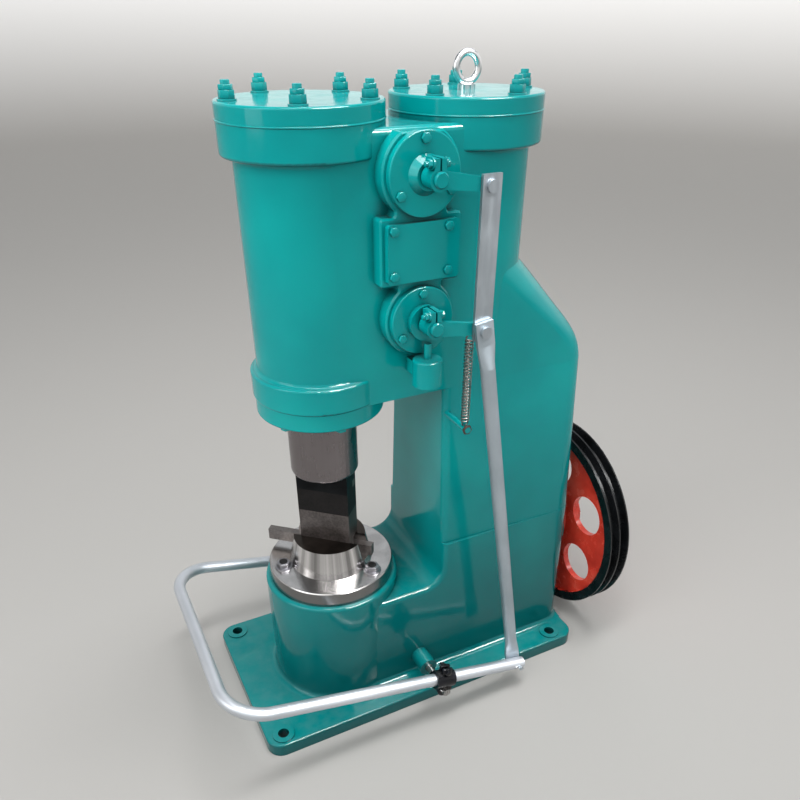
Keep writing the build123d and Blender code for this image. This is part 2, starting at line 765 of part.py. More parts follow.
with BuildPart() as lower_link_pin:
    with BuildSketch(Plane.XZ.offset(-lever_back_y)):
        with Locations((low_pin_x, low_pin_z)):
            Circle(link_pin_r)
    extrude(amount=lever_back_y - head_face_y + slide_gap)
    with BuildSketch(Plane.XZ.offset(-head_face_y + slide_gap)):
        with Locations((low_pin_x, low_pin_z)):
            Circle(link_pin_head_r)
    extrude(amount=link_pin_head)
save(lower_link_pin, "lower_link_pin")

# Pipe from the lower lever down to the treadle, both ends hammered flat
tube_top = Vector(low_pin_x, head_back_y - tube_flat_thickness / 2, low_pin_z)
foot_y = -treadle_half_span + pipe_r + slide_gap + tube_flat_thickness / 2 + foot_gap
tube_foot = Vector(treadle_foot_x, foot_y, foot_z)
tube_axis = (tube_foot - tube_top).normalized()
tube_plane_x = Vector(0, 1, 0).cross(tube_axis).normalized()
tube_length = (tube_foot - tube_top).length
with BuildPart() as link_tube:
    with BuildSketch(Plane(origin=tube_top + tube_axis * (tube_flat_inside + tube_flat_length),
                           x_dir=tube_plane_x, z_dir=tube_axis)):
        Circle(tube_r)
    extrude(amount=tube_length - 2 * (tube_flat_inside + tube_flat_length))
    for end, direction in ((tube_top, tube_axis), (tube_foot, -tube_axis)):
        flat_plane = Plane(origin=end + direction * tube_flat_inside, x_dir=tube_plane_x,
                           z_dir=direction)
        with BuildSketch(flat_plane):
            Rectangle(link_bar_width, tube_flat_thickness)
        with BuildSketch(flat_plane.offset(tube_flat_length)):
            Circle(tube_r)
        loft()
        with BuildSketch(flat_plane):
            Rectangle(link_bar_width, tube_flat_thickness)
        extrude(amount=-tube_flat_length)
    with BuildSketch(Plane.XZ.offset(-head_back_y - overrun)):
        with Locations((low_pin_x, low_pin_z)):
            Circle(link_pin_r + 2 * open_pivot_gap)
    extrude(amount=3 * overrun, mode=Mode.SUBTRACT)
    with BuildSketch(Plane.XZ.offset(treadle_half_span - 2 * overrun)):
        with Locations((treadle_foot_x, foot_z)):
            Circle(foot_pin_r + foot_pin_slack)
    extrude(amount=3 * overrun, mode=Mode.SUBTRACT)
save(link_tube, "link_tube")

# Treadle loop
loop_plane = Plane(
    origin=(pivot_x, 0, arm_z_at_pivot), x_dir=(cos(radians(treadle_tilt)), 0, -sin(radians(treadle_tilt))),
    z_dir=(sin(radians(treadle_tilt)), 0, cos(radians(treadle_tilt))))
loop_front = (treadle_front_x - pivot_x) / cos(radians(treadle_tilt))
loop_rear = (treadle_rear_x - pivot_x) / cos(radians(treadle_tilt))
loop_far_rear = clamp_length
with BuildPart() as treadle_loop:
    with BuildLine(loop_plane) as loop_path:
        FilletPolyline(
            (loop_rear, -treadle_half_span), (loop_front, -treadle_half_span),
            (loop_front, treadle_half_span), (loop_far_rear, treadle_half_span), radius=treadle_bend_r)
    with BuildSketch(Plane(origin=loop_path.line @ 0, z_dir=loop_path.line % 0)):
        Circle(pipe_r)
    sweep()
    with BuildSketch(Plane.XZ.offset(treadle_half_span - 2 * pipe_r)):
        with Locations((treadle_foot_x, foot_z)):
            Circle(foot_pin_r + run_gap)
    extrude(amount=4 * pipe_r, mode=Mode.SUBTRACT)
save(treadle_loop, "treadle_loop")

# Clamps that hold the treadle pipe on its pivot pins
for side_name, side in (("near", -1), ("far", 1)):
    arm_point = Vector(pivot_x, side * treadle_half_span, arm_z_at_pivot)
    clamp_plane = Plane(origin=arm_point, x_dir=(0, 1, 0), z_dir=loop_plane.x_dir)
    with BuildPart() as treadle_clamp:
        with BuildSketch(clamp_plane.offset(-clamp_length / 2)):
            Circle(clamp_r)
        extrude(amount=clamp_length)
        with BuildSketch(Plane.XZ.offset(-side * treadle_half_span - lug_thickness / 2)):
            with Locations((pivot_x, pivot_z)):
                Circle(lug_r)
            with Locations((pivot_x, (pivot_z + arm_z_at_pivot) / 2)):
                Rectangle(2 * lug_r, arm_z_at_pivot - pivot_z)
        extrude(amount=lug_thickness)
        with BuildSketch(clamp_plane.offset(-clamp_length)):
            Circle(pipe_r + run_gap)
        extrude(amount=2 * clamp_length, mode=Mode.SUBTRACT)
        with BuildSketch(Plane.XZ.offset(-side * treadle_half_span - lug_thickness)):
            with Locations((pivot_x, pivot_z)):
                Circle(pivot_pin_r + run_gap)
        extrude(amount=2 * lug_thickness, mode=Mode.SUBTRACT)
    save(treadle_clamp, f"{side_name}_treadle_clamp")

    pin_end = treadle_half_span + lug_thickness / 2 + pin_proud
    with BuildPart() as pivot_pin:
        with BuildSketch(Plane.XZ.offset(-side * (pivot_boss_reach - pivot_pin_depth))):
            with Locations((pivot_x, pivot_z)):
                Circle(pivot_pin_r)
        extrude(amount=-side * (pin_end - pivot_boss_reach + pivot_pin_depth))
    save(pivot_pin, f"{side_name}_pivot_pin")

# Pin through the foot of the link tube, fast in the treadle pipe
with BuildPart() as foot_pin:
    with BuildSketch(Plane.XZ.offset(treadle_half_span - pipe_r - foot_pin_inside)):
        with Locations((treadle_foot_x, foot_z)):
            Circle(foot_pin_r)
    extrude(amount=foot_pin_inside + 2 * pipe_r + foot_pin_outside)
save(foot_pin, "foot_pin")

# Return spring between its anchor pin and the lower lever
with BuildPart() as return_spring:
    with BuildSketch(Plane.XY.offset(spring_low_z)):
        with Locations((valve_x + spring_arm, spring_y)):
            Circle(spring_r)
    extrude(amount=spring_length - lever_end_r - spring_hook)
save(return_spring, "return_spring")

with BuildPart() as spring_anchor:
    with BuildSketch(Plane.XZ.offset(top_half_width - anchor_pin_depth)):
        with Locations((valve_x + spring_arm, spring_low_z - spring_anchor_r - seat_gap)):
            Circle(spring_anchor_r)
    extrude(amount=-spring_y + spring_r + anchor_pin_proud - top_half_width + anchor_pin_depth)
save(spring_anchor, "spring_anchor")

# Oil cup carried by the foot of the lower valve boss
with BuildPart() as oil_cup:
    with BuildSketch(Plane.XY.offset(cup_top_z - cup_height)):
        with Locations((valve_x, -top_half_width - cup_reach)):
            Circle(cup_r)
    extrude(amount=cup_height)
    with BuildSketch(Plane.XY.offset(cup_top_z - cup_height + cup_arm_low)):
        with Locations((valve_x, -top_half_width - cup_reach / 2)):
            Rectangle(cup_arm_width, cup_reach)
    extrude(amount=cup_arm_height)
    fillet(edges().group_by(Axis.Z)[-1], radius=cup_edge_r)
    with BuildSketch(Plane.XY.offset(cup_top_z)):
        with Locations((valve_x, -top_half_width - cup_reach)):
            Circle(cup_feed_r)
    extrude(amount=cup_feed_height)
save(oil_cup, "oil_cup")

# Bearing cap behind the column, crankshaft end, pulley and nut
with BuildPart() as crank_bearing_cap:
    with BuildSketch(Plane.YZ.offset(rear_x)):
        with Locations((0, crank_z)):
            Circle(bearing_r)
            Circle(crank_r + run_gap, mode=Mode.SUBTRACT)
    extrude(amount=bearing_thickness)
save(crank_bearing_cap, "crank_bearing_cap")

with BuildPart() as crankshaft:
    with BuildSketch(Plane.YZ.offset(rear_x - crank_depth)):
        with Locations((0, crank_z)):
            Circle(crank_r)
    extrude(amount=hub_rear_x + crank_nut_height + crank_proud - rear_x + crank_depth)
save(crankshaft, "crankshaft")

with BuildPart() as drive_pulley:
    with BuildSketch(Plane.XZ):
        with BuildLine():
            rim_rear_x = pulley_front_x + rim_width
            Polyline(
                (hub_front_x, crank_z + crank_r + run_gap), (hub_front_x, crank_z + hub_outer_r),
                (pulley_front_x + web_recess, crank_z + web_inner_r),
                (pulley_front_x + web_recess, crank_z + pulley_rim_inner_r),
                (pulley_front_x, crank_z + pulley_rim_inner_r), (pulley_front_x, crank_z + pulley_r),
                (rim_rear_x, crank_z + pulley_r), (rim_rear_x, crank_z + pulley_rim_inner_r),
                (pulley_front_x + web_recess + web_thickness, crank_z + pulley_rim_inner_r),
                (pulley_front_x + web_recess + web_thickness, crank_z + web_inner_r),
                (hub_rear_x, crank_z + hub_outer_r), (hub_rear_x, crank_z + crank_r + run_gap), close=True)
        make_face()
        for groove in range(groove_count):
            groove_x = pulley_front_x + rim_width / 2 + (groove - (groove_count - 1) / 2) * groove_pitch
            with BuildLine():
                Polyline(
                    (groove_x - groove_top_width / 2, crank_z + pulley_r + 0.1),
                    (groove_x - groove_bottom_width / 2, crank_z + pulley_r - groove_depth),
                    (groove_x + groove_bottom_width / 2, crank_z + pulley_r - groove_depth),
                    (groove_x + groove_top_width / 2, crank_z + pulley_r + 0.1), close=True)
            make_face(mode=Mode.SUBTRACT)
    revolve(axis=Axis((0, 0, crank_z), (1, 0, 0)))
    with BuildSketch(Plane.YZ.offset(pulley_front_x)):
        with Locations((0, crank_z)):
            with PolarLocations(web_hole_circle_r, web_hole_count, start_angle=web_hole_turn):
                Circle(web_hole_r)
    extrude(amount=rim_width, mode=Mode.SUBTRACT)
save(drive_pulley, "drive_pulley")

with BuildPart() as crank_nut:
    with BuildSketch(Plane.YZ.offset(hub_rear_x)):
        with Locations((0, crank_z)):
            RegularPolygon(crank_nut_r, 6)
            Circle(crank_r + run_gap, mode=Mode.SUBTRACT)
    extrude(amount=crank_nut_height)
save(crank_nut, "crank_nut")

# Lifting eye on the compressor cylinder cover
cover_top_z = joint_z + cover_thickness
with BuildPart() as lifting_eye:
    with BuildSketch(Plane.XY.offset(cover_top_z)):
        with Locations((comp_x, 0)):
            Circle(eye_collar_r)
    extrude(amount=eye_collar_height)
    eye_ring_r = eye_inner_r + eye_section_r
    eye_z = cover_top_z + eye_collar_height + eye_ring_r + eye_section_r - 3
    with BuildSketch(Plane.XY.offset(eye_z)):
        with Locations((comp_x + eye_ring_r, 0)):
            Circle(eye_section_r)
    revolve(axis=Axis((comp_x, 0, eye_z), (0, 1, 0)))
save(lifting_eye, "lifting_eye")
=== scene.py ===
import json
from math import cos, pi, radians, sin

import bmesh
import bpy
from mathutils import Matrix, Vector


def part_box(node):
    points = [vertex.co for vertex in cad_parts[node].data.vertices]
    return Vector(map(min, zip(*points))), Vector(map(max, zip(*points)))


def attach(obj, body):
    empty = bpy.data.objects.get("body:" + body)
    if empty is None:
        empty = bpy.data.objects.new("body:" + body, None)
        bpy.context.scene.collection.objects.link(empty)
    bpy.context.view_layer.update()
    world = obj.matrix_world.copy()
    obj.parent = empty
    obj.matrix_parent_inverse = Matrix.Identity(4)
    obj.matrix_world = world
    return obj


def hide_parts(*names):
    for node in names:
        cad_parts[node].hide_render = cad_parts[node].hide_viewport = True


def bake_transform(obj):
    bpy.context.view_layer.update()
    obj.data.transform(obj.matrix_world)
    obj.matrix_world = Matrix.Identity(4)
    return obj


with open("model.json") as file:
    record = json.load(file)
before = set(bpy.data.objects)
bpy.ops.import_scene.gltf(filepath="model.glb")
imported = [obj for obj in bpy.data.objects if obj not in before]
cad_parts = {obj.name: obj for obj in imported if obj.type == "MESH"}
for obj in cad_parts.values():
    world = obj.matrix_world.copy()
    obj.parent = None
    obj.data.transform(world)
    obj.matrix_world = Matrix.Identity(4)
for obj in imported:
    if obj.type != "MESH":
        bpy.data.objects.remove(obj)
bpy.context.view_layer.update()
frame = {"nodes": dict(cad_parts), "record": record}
nodes = frame["nodes"]
print("frame loaded:", len(nodes), "nodes")

# Distances below are in millimetres; finishPiece turns them to metres.
mm = 0.001
ramX, compX, valveX = -152.0, 143.0, -12.0
valveHigh, valveLow = 1120.0, 892.0
crankZ = 262.0
up = Vector((0, 0, 1))
outward = Vector((0, -1, 0))      # towards the lever side


def boxOf(node):
    # lowest and highest corner of a node, in mm
    low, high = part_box(node)
    return Vector(low) / mm, Vector(high) / mm


# Materials

def linear(hexColour):
    # sRGB hex to the linear values that shader sockets take
    def channel(c):
        return c / 12.92 if c <= 0.04045 else ((c + 0.055) / 1.055) ** 2.4
    return tuple(channel(int(hexColour[i:i + 2], 16) / 255) for i in (1, 3, 5)) + (1.0,)


def addNode(tree, kind, output, links=None, stops=None, **settings):
    # one node with its settings, given back as the output asked for; links maps an input to a socket or to a
    # fixed value, and stops are the places and hex colours of a colour ramp
    node = tree.nodes.new(kind)
    for key, value in settings.items():
        setattr(node, key, value)
    for name, source in (links or {}).items():
        if isinstance(source, bpy.types.NodeSocket):
            tree.links.new(source, node.inputs[name])
        elif source is not None:
            node.inputs[name].default_value = source
    if stops:
        elements = node.color_ramp.elements
        while len(elements) < len(stops):
            elements.new(0.5)
        for element, (position, colour) in zip(elements, stops):
            element.position = position
            element.color = linear(colour)
    return node.outputs[output]


def newMaterial(name, **fixed):
    material = bpy.data.materials.new(name)
    material.use_nodes = True
    tree = material.node_tree
    shader = tree.nodes["Principled BSDF"]
    for socket, value in fixed.items():
        shader.inputs[socket.replace("_", " ")].default_value = value
    return material, tree, shader, addNode(tree, "ShaderNodeTexCoord", "Object")


def reliefNormal(tree, place, layers):
    # the surface's normal with waves, brush marks or grains of several widths laid over each other
    normal = None
    for width, octaves, depth in layers:
        relief = addNode(tree, "ShaderNodeTexNoise", "Fac", {
            "Vector": place, "Scale": 1000 / width, "Detail": octaves})
        normal = addNode(tree, "ShaderNodeBump", "Normal", {
            "Height": relief, "Distance": depth * mm, "Strength": 1.0, "Normal": normal})
    return normal


# A pattern is the width of one patch in mm and its octaves, a relief layer adds its depth in mm
enamelLook = {
    "coats": ("#019496", "#019FA0", "#03A9A8"), "coatStops": (0.30, 0.52, 0.75), "coatPattern": (170, 2),
    "roughness": 0.10, "wornPattern": (45, 4), "wear": (-0.04, 0.07),
    # painted shade: the colour darkens towards the foot, less on faces that look up
    "footShade": "#044346", "footShadeTop": 0.66, "footShadeBottom": 0.08,      # heights in metres
    "footShadeShare": 0.82, "upFacingShadeFactor": 0.5,
    # painted shade colour, laid on the undersides and in the corners
    "shade": "#033C3E", "undersideShadeShare": 0.85, "cornerShadeReach": 0.028, "cornerShadeShare": 0.85,
    "dust": "#B7B9B1", "dustShare": 0.055, "dustPattern": (26, 4),
    "relief": ((80, 2, 0.50), (10, 3, 0.035), (3.6, 2, 0.045)),      # filler waves, brush drag, orange peel
}
blackLook = dict(enamelLook, coats=("#090A10", "#0F1119", "#191C2A"), coatPattern=(40, 2), shade="#050609",
                 roughness=0.18, footShadeShare=0.0, relief=((30, 2, 0.12),) + enamelLook["relief"][1:])


def enamelMaterial(name, look):
    # Alkyd enamel brushed over filled cast iron: a deep wet gloss that wobbles with the filler and breaks
    # into grains at sharp highlights, the orange peel a little coarse so that it shows. Painted shade darkens
    # it towards the foot (less on the upper faces), on the undersides and in the corners; dust on the upper
    # faces.
    material, tree, shader, place = newMaterial(name, IOR=1.5, Specular_IOR_Level=0.30)
    pattern = {}
    for use in ("coatPattern", "wornPattern", "dustPattern"):
        width, octaves = look[use]
        pattern[use] = addNode(tree, "ShaderNodeTexNoise", "Fac", {
            "Vector": place, "Scale": 1000 / width, "Detail": octaves})
    normal = addNode(tree, "ShaderNodeNewGeometry", "Normal")
    upwards = addNode(tree, "ShaderNodeSeparateXYZ", "Z", {"Vector": normal})
    height = addNode(tree, "ShaderNodeSeparateXYZ", "Z", {"Vector": place})
    colour = addNode(tree, "ShaderNodeValToRGB", "Color", {"Fac": pattern["coatPattern"]},
                     list(zip(look["coatStops"], look["coats"])))
    # painted shade towards the foot, lighter on the upper faces
    if look["footShadeShare"]:
        footShadeRamp = addNode(tree, "ShaderNodeMapRange", "Result", {
            "Value": height, "From Min": look["footShadeTop"], "From Max": look["footShadeBottom"],
            "To Min": 0.0, "To Max": look["footShadeShare"]})
        upFacingShadeScale = addNode(tree, "ShaderNodeMapRange", "Result", {        # the painted shade is lighter on the upper faces, where the light falls
            "Value": upwards, "From Min": 0.3, "From Max": 1.0, "To Min": 1.0, "To Max": look["upFacingShadeFactor"]})
        footShadeMask = addNode(tree, "ShaderNodeMath", 0, {0: footShadeRamp, 1: upFacingShadeScale}, operation="MULTIPLY")
        colour = addNode(tree, "ShaderNodeMix", 2, {0: footShadeMask, 6: colour, 7: linear(look["footShade"])},
                         data_type="RGBA")
    undersideShade = addNode(tree, "ShaderNodeMapRange", "Result", {        # painted shade on the faces that look down
        "Value": upwards, "From Min": -0.1, "From Max": -0.85,
        "To Min": 0.0, "To Max": look["undersideShadeShare"]})
    # painted shade in the corners and creases, from ambient occlusion
    corners = addNode(tree, "ShaderNodeAmbientOcclusion", "AO", {"Distance": look["cornerShadeReach"]}, samples=6)
    cornerShade = addNode(tree, "ShaderNodeMapRange", "Result", {
        "Value": corners, "From Min": 0.70, "From Max": 0.40, "To Min": 0.0, "To Max": look["cornerShadeShare"]})
    dark = addNode(tree, "ShaderNodeMath", 0, {0: undersideShade, 1: cornerShade}, operation="MAXIMUM")
    colour = addNode(tree, "ShaderNodeMix", 2, {0: dark, 6: colour, 7: linear(look["shade"])},
                     data_type="RGBA")
    level = addNode(tree, "ShaderNodeMapRange", "Result", {
        "Value": upwards, "From Min": 0.8, "From Max": 1.0, "To Min": 0.0, "To Max": look["dustShare"]})
    specks = addNode(tree, "ShaderNodeMapRange", "Result", {
        "Value": pattern["dustPattern"], "From Min": 0.35, "From Max": 0.7, "To Min": 0.0, "To Max": 1.0})
    dust = addNode(tree, "ShaderNodeMath", 0, {0: level, 1: specks}, operation="MULTIPLY")
    colour = addNode(tree, "ShaderNodeMix", 2, {0: dust, 6: colour, 7: linear(look["dust"])},
                     data_type="RGBA")
    tree.links.new(colour, shader.inputs["Base Color"])
    worn = addNode(tree, "ShaderNodeMapRange", "Result", {
        "Value": pattern["wornPattern"], "From Min": 0.2, "From Max": 0.8,
        "To Min": look["roughness"] + look["wear"][0], "To Max": look["roughness"] + look["wear"][1]})
    roughness = addNode(tree, "ShaderNodeMath", 0, {0: worn, 1: dust}, operation="ADD")
    tree.links.new(roughness, shader.inputs["Roughness"])
    tree.links.new(reliefNormal(tree, place, look["relief"]), shader.inputs["Normal"])
    return material


def steelMaterial(name, base, light, rough, metallic=1.0, grain=(1, 1, 1), grainSize=3.0, depth=0.01,
                  blotch=60, oxideBelow=None):
    # Bare steel that a cutter, a wheel or rolls have left with a fine grain along one direction; below
    # oxideBelow, a height in metres, it keeps the black scale of the forge. Sizes and depth are in mm.
    material, tree, shader, place = newMaterial(name, Metallic=metallic)
    drawnOut = addNode(tree, "ShaderNodeMapping", "Vector", {"Vector": place, "Scale": grain})
    marks = addNode(tree, "ShaderNodeTexNoise", "Fac", {
        "Vector": drawnOut, "Scale": 1000 / grainSize, "Detail": 6.0, "Roughness": 0.6})
    patches = addNode(tree, "ShaderNodeTexNoise", "Fac", {
        "Vector": place, "Scale": 1000 / blotch, "Detail": 4.0})
    summed = addNode(tree, "ShaderNodeMath", 0, {0: marks, 1: patches}, operation="ADD")
    mean = addNode(tree, "ShaderNodeMath", 0, {0: summed, 1: 0.5}, operation="MULTIPLY")
    colour = addNode(tree, "ShaderNodeValToRGB", "Color", {"Fac": mean}, [(0.36, base), (0.62, light)])
    roughness = addNode(tree, "ShaderNodeMapRange", "Result", {
        "Value": mean, "From Min": 0.3, "From Max": 0.7, "To Min": rough - 0.07, "To Max": rough + 0.1})
    if oxideBelow:
        height = addNode(tree, "ShaderNodeSeparateXYZ", "Z", {"Vector": place})
        scaled = addNode(tree, "ShaderNodeMath", 0, {0: height, 1: oxideBelow}, operation="LESS_THAN")
        scale = addNode(tree, "ShaderNodeValToRGB", "Color", {"Fac": patches},
                        [(0.3, "#151617"), (0.7, "#26282A")])
        colour = addNode(tree, "ShaderNodeMix", 2, {0: scaled, 6: colour, 7: scale}, data_type="RGBA")
        duller = addNode(tree, "ShaderNodeMath", 0, {0: scaled, 1: 0.12}, operation="MULTIPLY")
        roughness = addNode(tree, "ShaderNodeMath", 0, {0: roughness, 1: duller}, operation="ADD")
    tree.links.new(colour, shader.inputs["Base Color"])
    tree.links.new(roughness, shader.inputs["Roughness"])
    bumped = addNode(tree, "ShaderNodeBump", "Normal", {
        "Height": marks, "Distance": depth * mm, "Strength": 1.0})
    tree.links.new(bumped, shader.inputs["Normal"])
    return material


# heights and radii in metres
turnedLook = {
    "face": ("#A09E9D", "#B8B6B5"), "rim": "#7F7E7D", "rimFrom": 0.1344,
    "oil": ("#2A2623", "#3B3531"), "oilAbove": 0.3936, "oilRoughness": 0.15,
    # painted reflection streaks on the cone, dark and bright
    "reflectionStreaks": ("#8A8887", "#DEDCDB"), "reflectionStreakScale": 5.0, "coneWithin": 0.0905, "coneAbove": 0.3335,
    "roughness": 0.18, "ringsPerMetre": 900.0, "ringDepth": 0.012, "blotch": 40,      # depth and blotch in mm
}


def turnedMaterial(name, look, centreX):
    # Face-turned steel: the tool's rings run round the ram axis and fan the light out. Hot work and oil have
    # blackened the top and the rim is duller. On the cone, bright and dark streaks that run up it are painted
    # reflections.
    material, tree, shader, place = newMaterial(name, Metallic=1.0, Anisotropic=0.5)
    centred = addNode(tree, "ShaderNodeMapping", "Vector", {
        "Vector": place, "Location": (-centreX * mm, 0, 0)})
    flat = addNode(tree, "ShaderNodeVectorMath", "Vector", {0: centred, 1: (1, 1, 0)},
                   operation="MULTIPLY")
    radius = addNode(tree, "ShaderNodeVectorMath", "Value", {0: flat}, operation="LENGTH")
    height = addNode(tree, "ShaderNodeSeparateXYZ", "Z", {"Vector": place})
    feed = addNode(tree, "ShaderNodeMath", 0, {0: radius, 1: height}, operation="ADD")
    rings = addNode(tree, "ShaderNodeTexNoise", "Fac", {
        "W": feed, "Scale": look["ringsPerMetre"], "Detail": 4.0, "Roughness": 0.7}, noise_dimensions="1D")
    patches = addNode(tree, "ShaderNodeTexNoise", "Fac", {
        "Vector": place, "Scale": 1000 / look["blotch"], "Detail": 4.0})
    colour = addNode(tree, "ShaderNodeValToRGB", "Color", {"Fac": patches},
                     list(zip((0.35, 0.65), look["face"])))
    onRim = addNode(tree, "ShaderNodeMath", 0, {0: radius, 1: look["rimFrom"]}, operation="GREATER_THAN")
    colour = addNode(tree, "ShaderNodeMix", 2, {0: onRim, 6: colour, 7: linear(look["rim"])},
                     data_type="RGBA")
    around = addNode(tree, "ShaderNodeVectorMath", "Vector", {0: flat}, operation="NORMALIZE")
    # painted reflection streaks running up the cone
    streakNoise = addNode(tree, "ShaderNodeTexNoise", "Fac", {
        "Vector": around, "Scale": look["reflectionStreakScale"], "Detail": 3.0})
    reflectionStreaks = addNode(tree, "ShaderNodeValToRGB", "Color", {"Fac": streakNoise},
                      list(zip((0.36, 0.62), look["reflectionStreaks"])))
    within = addNode(tree, "ShaderNodeMath", 0, {0: radius, 1: look["coneWithin"]}, operation="LESS_THAN")
    above = addNode(tree, "ShaderNodeMath", 0, {0: height, 1: look["coneAbove"]}, operation="GREATER_THAN")
    onCone = addNode(tree, "ShaderNodeMath", 0, {0: within, 1: above}, operation="MULTIPLY")
    colour = addNode(tree, "ShaderNodeMix", 2, {0: onCone, 6: colour, 7: reflectionStreaks}, data_type="RGBA")
    oily = addNode(tree, "ShaderNodeMath", 0, {0: height, 1: look["oilAbove"]}, operation="GREATER_THAN")
    oil = addNode(tree, "ShaderNodeValToRGB", "Color", {"Fac": patches},
                  list(zip((0.35, 0.65), look["oil"])))
    colour = addNode(tree, "ShaderNodeMix", 2, {0: oily, 6: colour, 7: oil}, data_type="RGBA")
    tree.links.new(colour, shader.inputs["Base Color"])
    turned = addNode(tree, "ShaderNodeMapRange", "Result", {
        "Value": rings, "From Min": 0.2, "From Max": 0.8,
        "To Min": look["roughness"] - 0.05, "To Max": look["roughness"] + 0.1})
    duller = addNode(tree, "ShaderNodeMath", 0, {0: oily, 1: look["oilRoughness"]}, operation="MULTIPLY")
    roughness = addNode(tree, "ShaderNodeMath", 0, {0: turned, 1: duller}, operation="ADD")
    tree.links.new(roughness, shader.inputs["Roughness"])
    tangent = addNode(tree, "ShaderNodeVectorMath", "Vector", {0: flat, 1: (0, 0, 1)},
                      operation="CROSS_PRODUCT")
    tree.links.new(tangent, shader.inputs["Tangent"])
    bumped = addNode(tree, "ShaderNodeBump", "Normal", {
        "Height": rings, "Distance": look["ringDepth"] * mm, "Strength": 1.0})
    tree.links.new(bumped, shader.inputs["Normal"])
    return material


pulleyLook = {
    "red": ("#BC2E20", "#DC4130", "#E65A46"), "redStops": (0.3, 0.55, 0.8), "redPattern": (60, 4),
    "black": ("#08090A", "#16181B"), "blackStops": (0.35, 0.7), "blackPattern": (40, 4),
    "rimFrom": 216.5, "wander": 3.0, "wanderPattern": (22, 3), "gloss": (0.16, 0.34), "glossPattern": (30, 4),
    "relief": ((14, 4, 0.25), (2.5, 3, 0.03)),      # sand of the mould, brush marks
}


def pulleyMaterial(name, look):
    # Grey iron casting: red lacquer inside the rim, gloss black on the rim, its edge and in the grooves
    material, tree, shader, place = newMaterial(name, IOR=1.5)
    pattern = {}
    for use in ("redPattern", "blackPattern", "wanderPattern", "glossPattern"):
        width, octaves = look[use]
        pattern[use] = addNode(tree, "ShaderNodeTexNoise", "Fac", {
            "Vector": place, "Scale": 1000 / width, "Detail": octaves})
    centred = addNode(tree, "ShaderNodeMapping", "Vector", {
        "Vector": place, "Location": (0, 0, -crankZ * mm)})
    flat = addNode(tree, "ShaderNodeVectorMath", "Vector", {0: centred, 1: (0, 1, 1)},
                   operation="MULTIPLY")
    radius = addNode(tree, "ShaderNodeVectorMath", "Value", {0: flat}, operation="LENGTH")
    wander = addNode(tree, "ShaderNodeMath", 0, {0: pattern["wanderPattern"], 1: look["wander"] * mm},
                     operation="MULTIPLY")
    edge = addNode(tree, "ShaderNodeMath", 0, {0: radius, 1: wander}, operation="ADD")
    onRim = addNode(tree, "ShaderNodeMath", 0, {0: edge, 1: look["rimFrom"] * mm}, operation="GREATER_THAN")
    red = addNode(tree, "ShaderNodeValToRGB", "Color", {"Fac": pattern["redPattern"]},
                  list(zip(look["redStops"], look["red"])))
    black = addNode(tree, "ShaderNodeValToRGB", "Color", {"Fac": pattern["blackPattern"]},
                    list(zip(look["blackStops"], look["black"])))
    colour = addNode(tree, "ShaderNodeMix", 2, {0: onRim, 6: red, 7: black}, data_type="RGBA")
    tree.links.new(colour, shader.inputs["Base Color"])
    roughness = addNode(tree, "ShaderNodeMapRange", "Result", {
        "Value": pattern["glossPattern"], "From Min": 0.2, "From Max": 0.8,
        "To Min": look["gloss"][0], "To Max": look["gloss"][1]})
    tree.links.new(roughness, shader.inputs["Roughness"])
    tree.links.new(reliefNormal(tree, place, look["relief"]), shader.inputs["Normal"])
    return material


tealEnamel = enamelMaterial("teal_enamel", enamelLook)
blackPaint = enamelMaterial("black_gloss_paint", blackLook)
pulleyPaint = pulleyMaterial("lacquered_pulley_iron", pulleyLook)
turnedSteel = turnedMaterial("turned_anvil_steel", turnedLook, ramX)

# The ram, ground lengthwise: an even grey sheen, with forge scale left on the end that holds the die
groundSteel = steelMaterial("ground_ram_steel", "#7A7475", "#807A7B", 0.27, grain=(3, 3, 0.12), grainSize=34,
                            depth=0.001, oxideBelow=0.559)
# Shafts and pins from the grinder: brighter, the grain along them
shaftSteel = steelMaterial("ground_shaft_steel", "#8A8886", "#B0AEAB", 0.28, grain=(6, 6, 0.25), grainSize=14,
                           depth=0.008)
# Dies: matt black scale on the upper one, brown and rubbed on the lower one
upperDieSteel = steelMaterial("scaled_die_steel", "#141313", "#232121", 0.48, metallic=0.7, grainSize=5,
                              depth=0.05, blotch=35)
dieSteel = steelMaterial("forged_die_steel", "#4A4644", "#6D6664", 0.38, metallic=0.85, grainSize=5,
                         depth=0.04, blotch=35)
keySteel = steelMaterial("key_steel", "#5B5755", "#827C79", 0.36, grainSize=4, depth=0.02, blotch=30)
# Flat bar from the rolls, dull and a little blue
rolledSteel = steelMaterial("rolled_bar_steel", "#A3ABB2", "#B3BBC1", 0.36, metallic=0.8, grain=(1, 1, 0.12),
                            grainSize=8, depth=0.006)
# Hot-dip galvanised pipe: a smooth, soft, almost white sheen, greyer where it is handled
zincPipe = steelMaterial("galvanised_pipe", "#BFC4CA", "#C7CBD1", 0.40, metallic=0.7, grainSize=160,
                         depth=0.0, blotch=160)
dullPipe = steelMaterial("handled_pipe", "#9EAAB1", "#ACB6BD", 0.42, metallic=0.7, grainSize=160,
                         depth=0.0, blotch=160)
# Electroplated small parts: near-mirror zinc, and nuts that spanners have dulled
zincPlate = steelMaterial("bright_zinc_plate", "#C9CBCE", "#E8E9EA", 0.17, grainSize=2, depth=0.004)
nutSteel = steelMaterial("plated_nut_steel", "#79787C", "#9C9B9F", 0.32, grainSize=3, depth=0.02, blotch=20)
# Drawn spring wire under oil, a rusty bolt, and blackened studs
springSteel = steelMaterial("oiled_spring_wire", "#7A7470", "#A59D97", 0.28, grainSize=2.5, depth=0.01,
                            blotch=18)
rustySteel = steelMaterial("rusty_bolt_steel", "#3A2C26", "#5D4A41", 0.5, metallic=0.6, grainSize=3,
                           depth=0.05, blotch=12)
studSteel = steelMaterial("dark_stud_steel", "#252526", "#3C3B3B", 0.42, grainSize=3, depth=0.02, blotch=20)

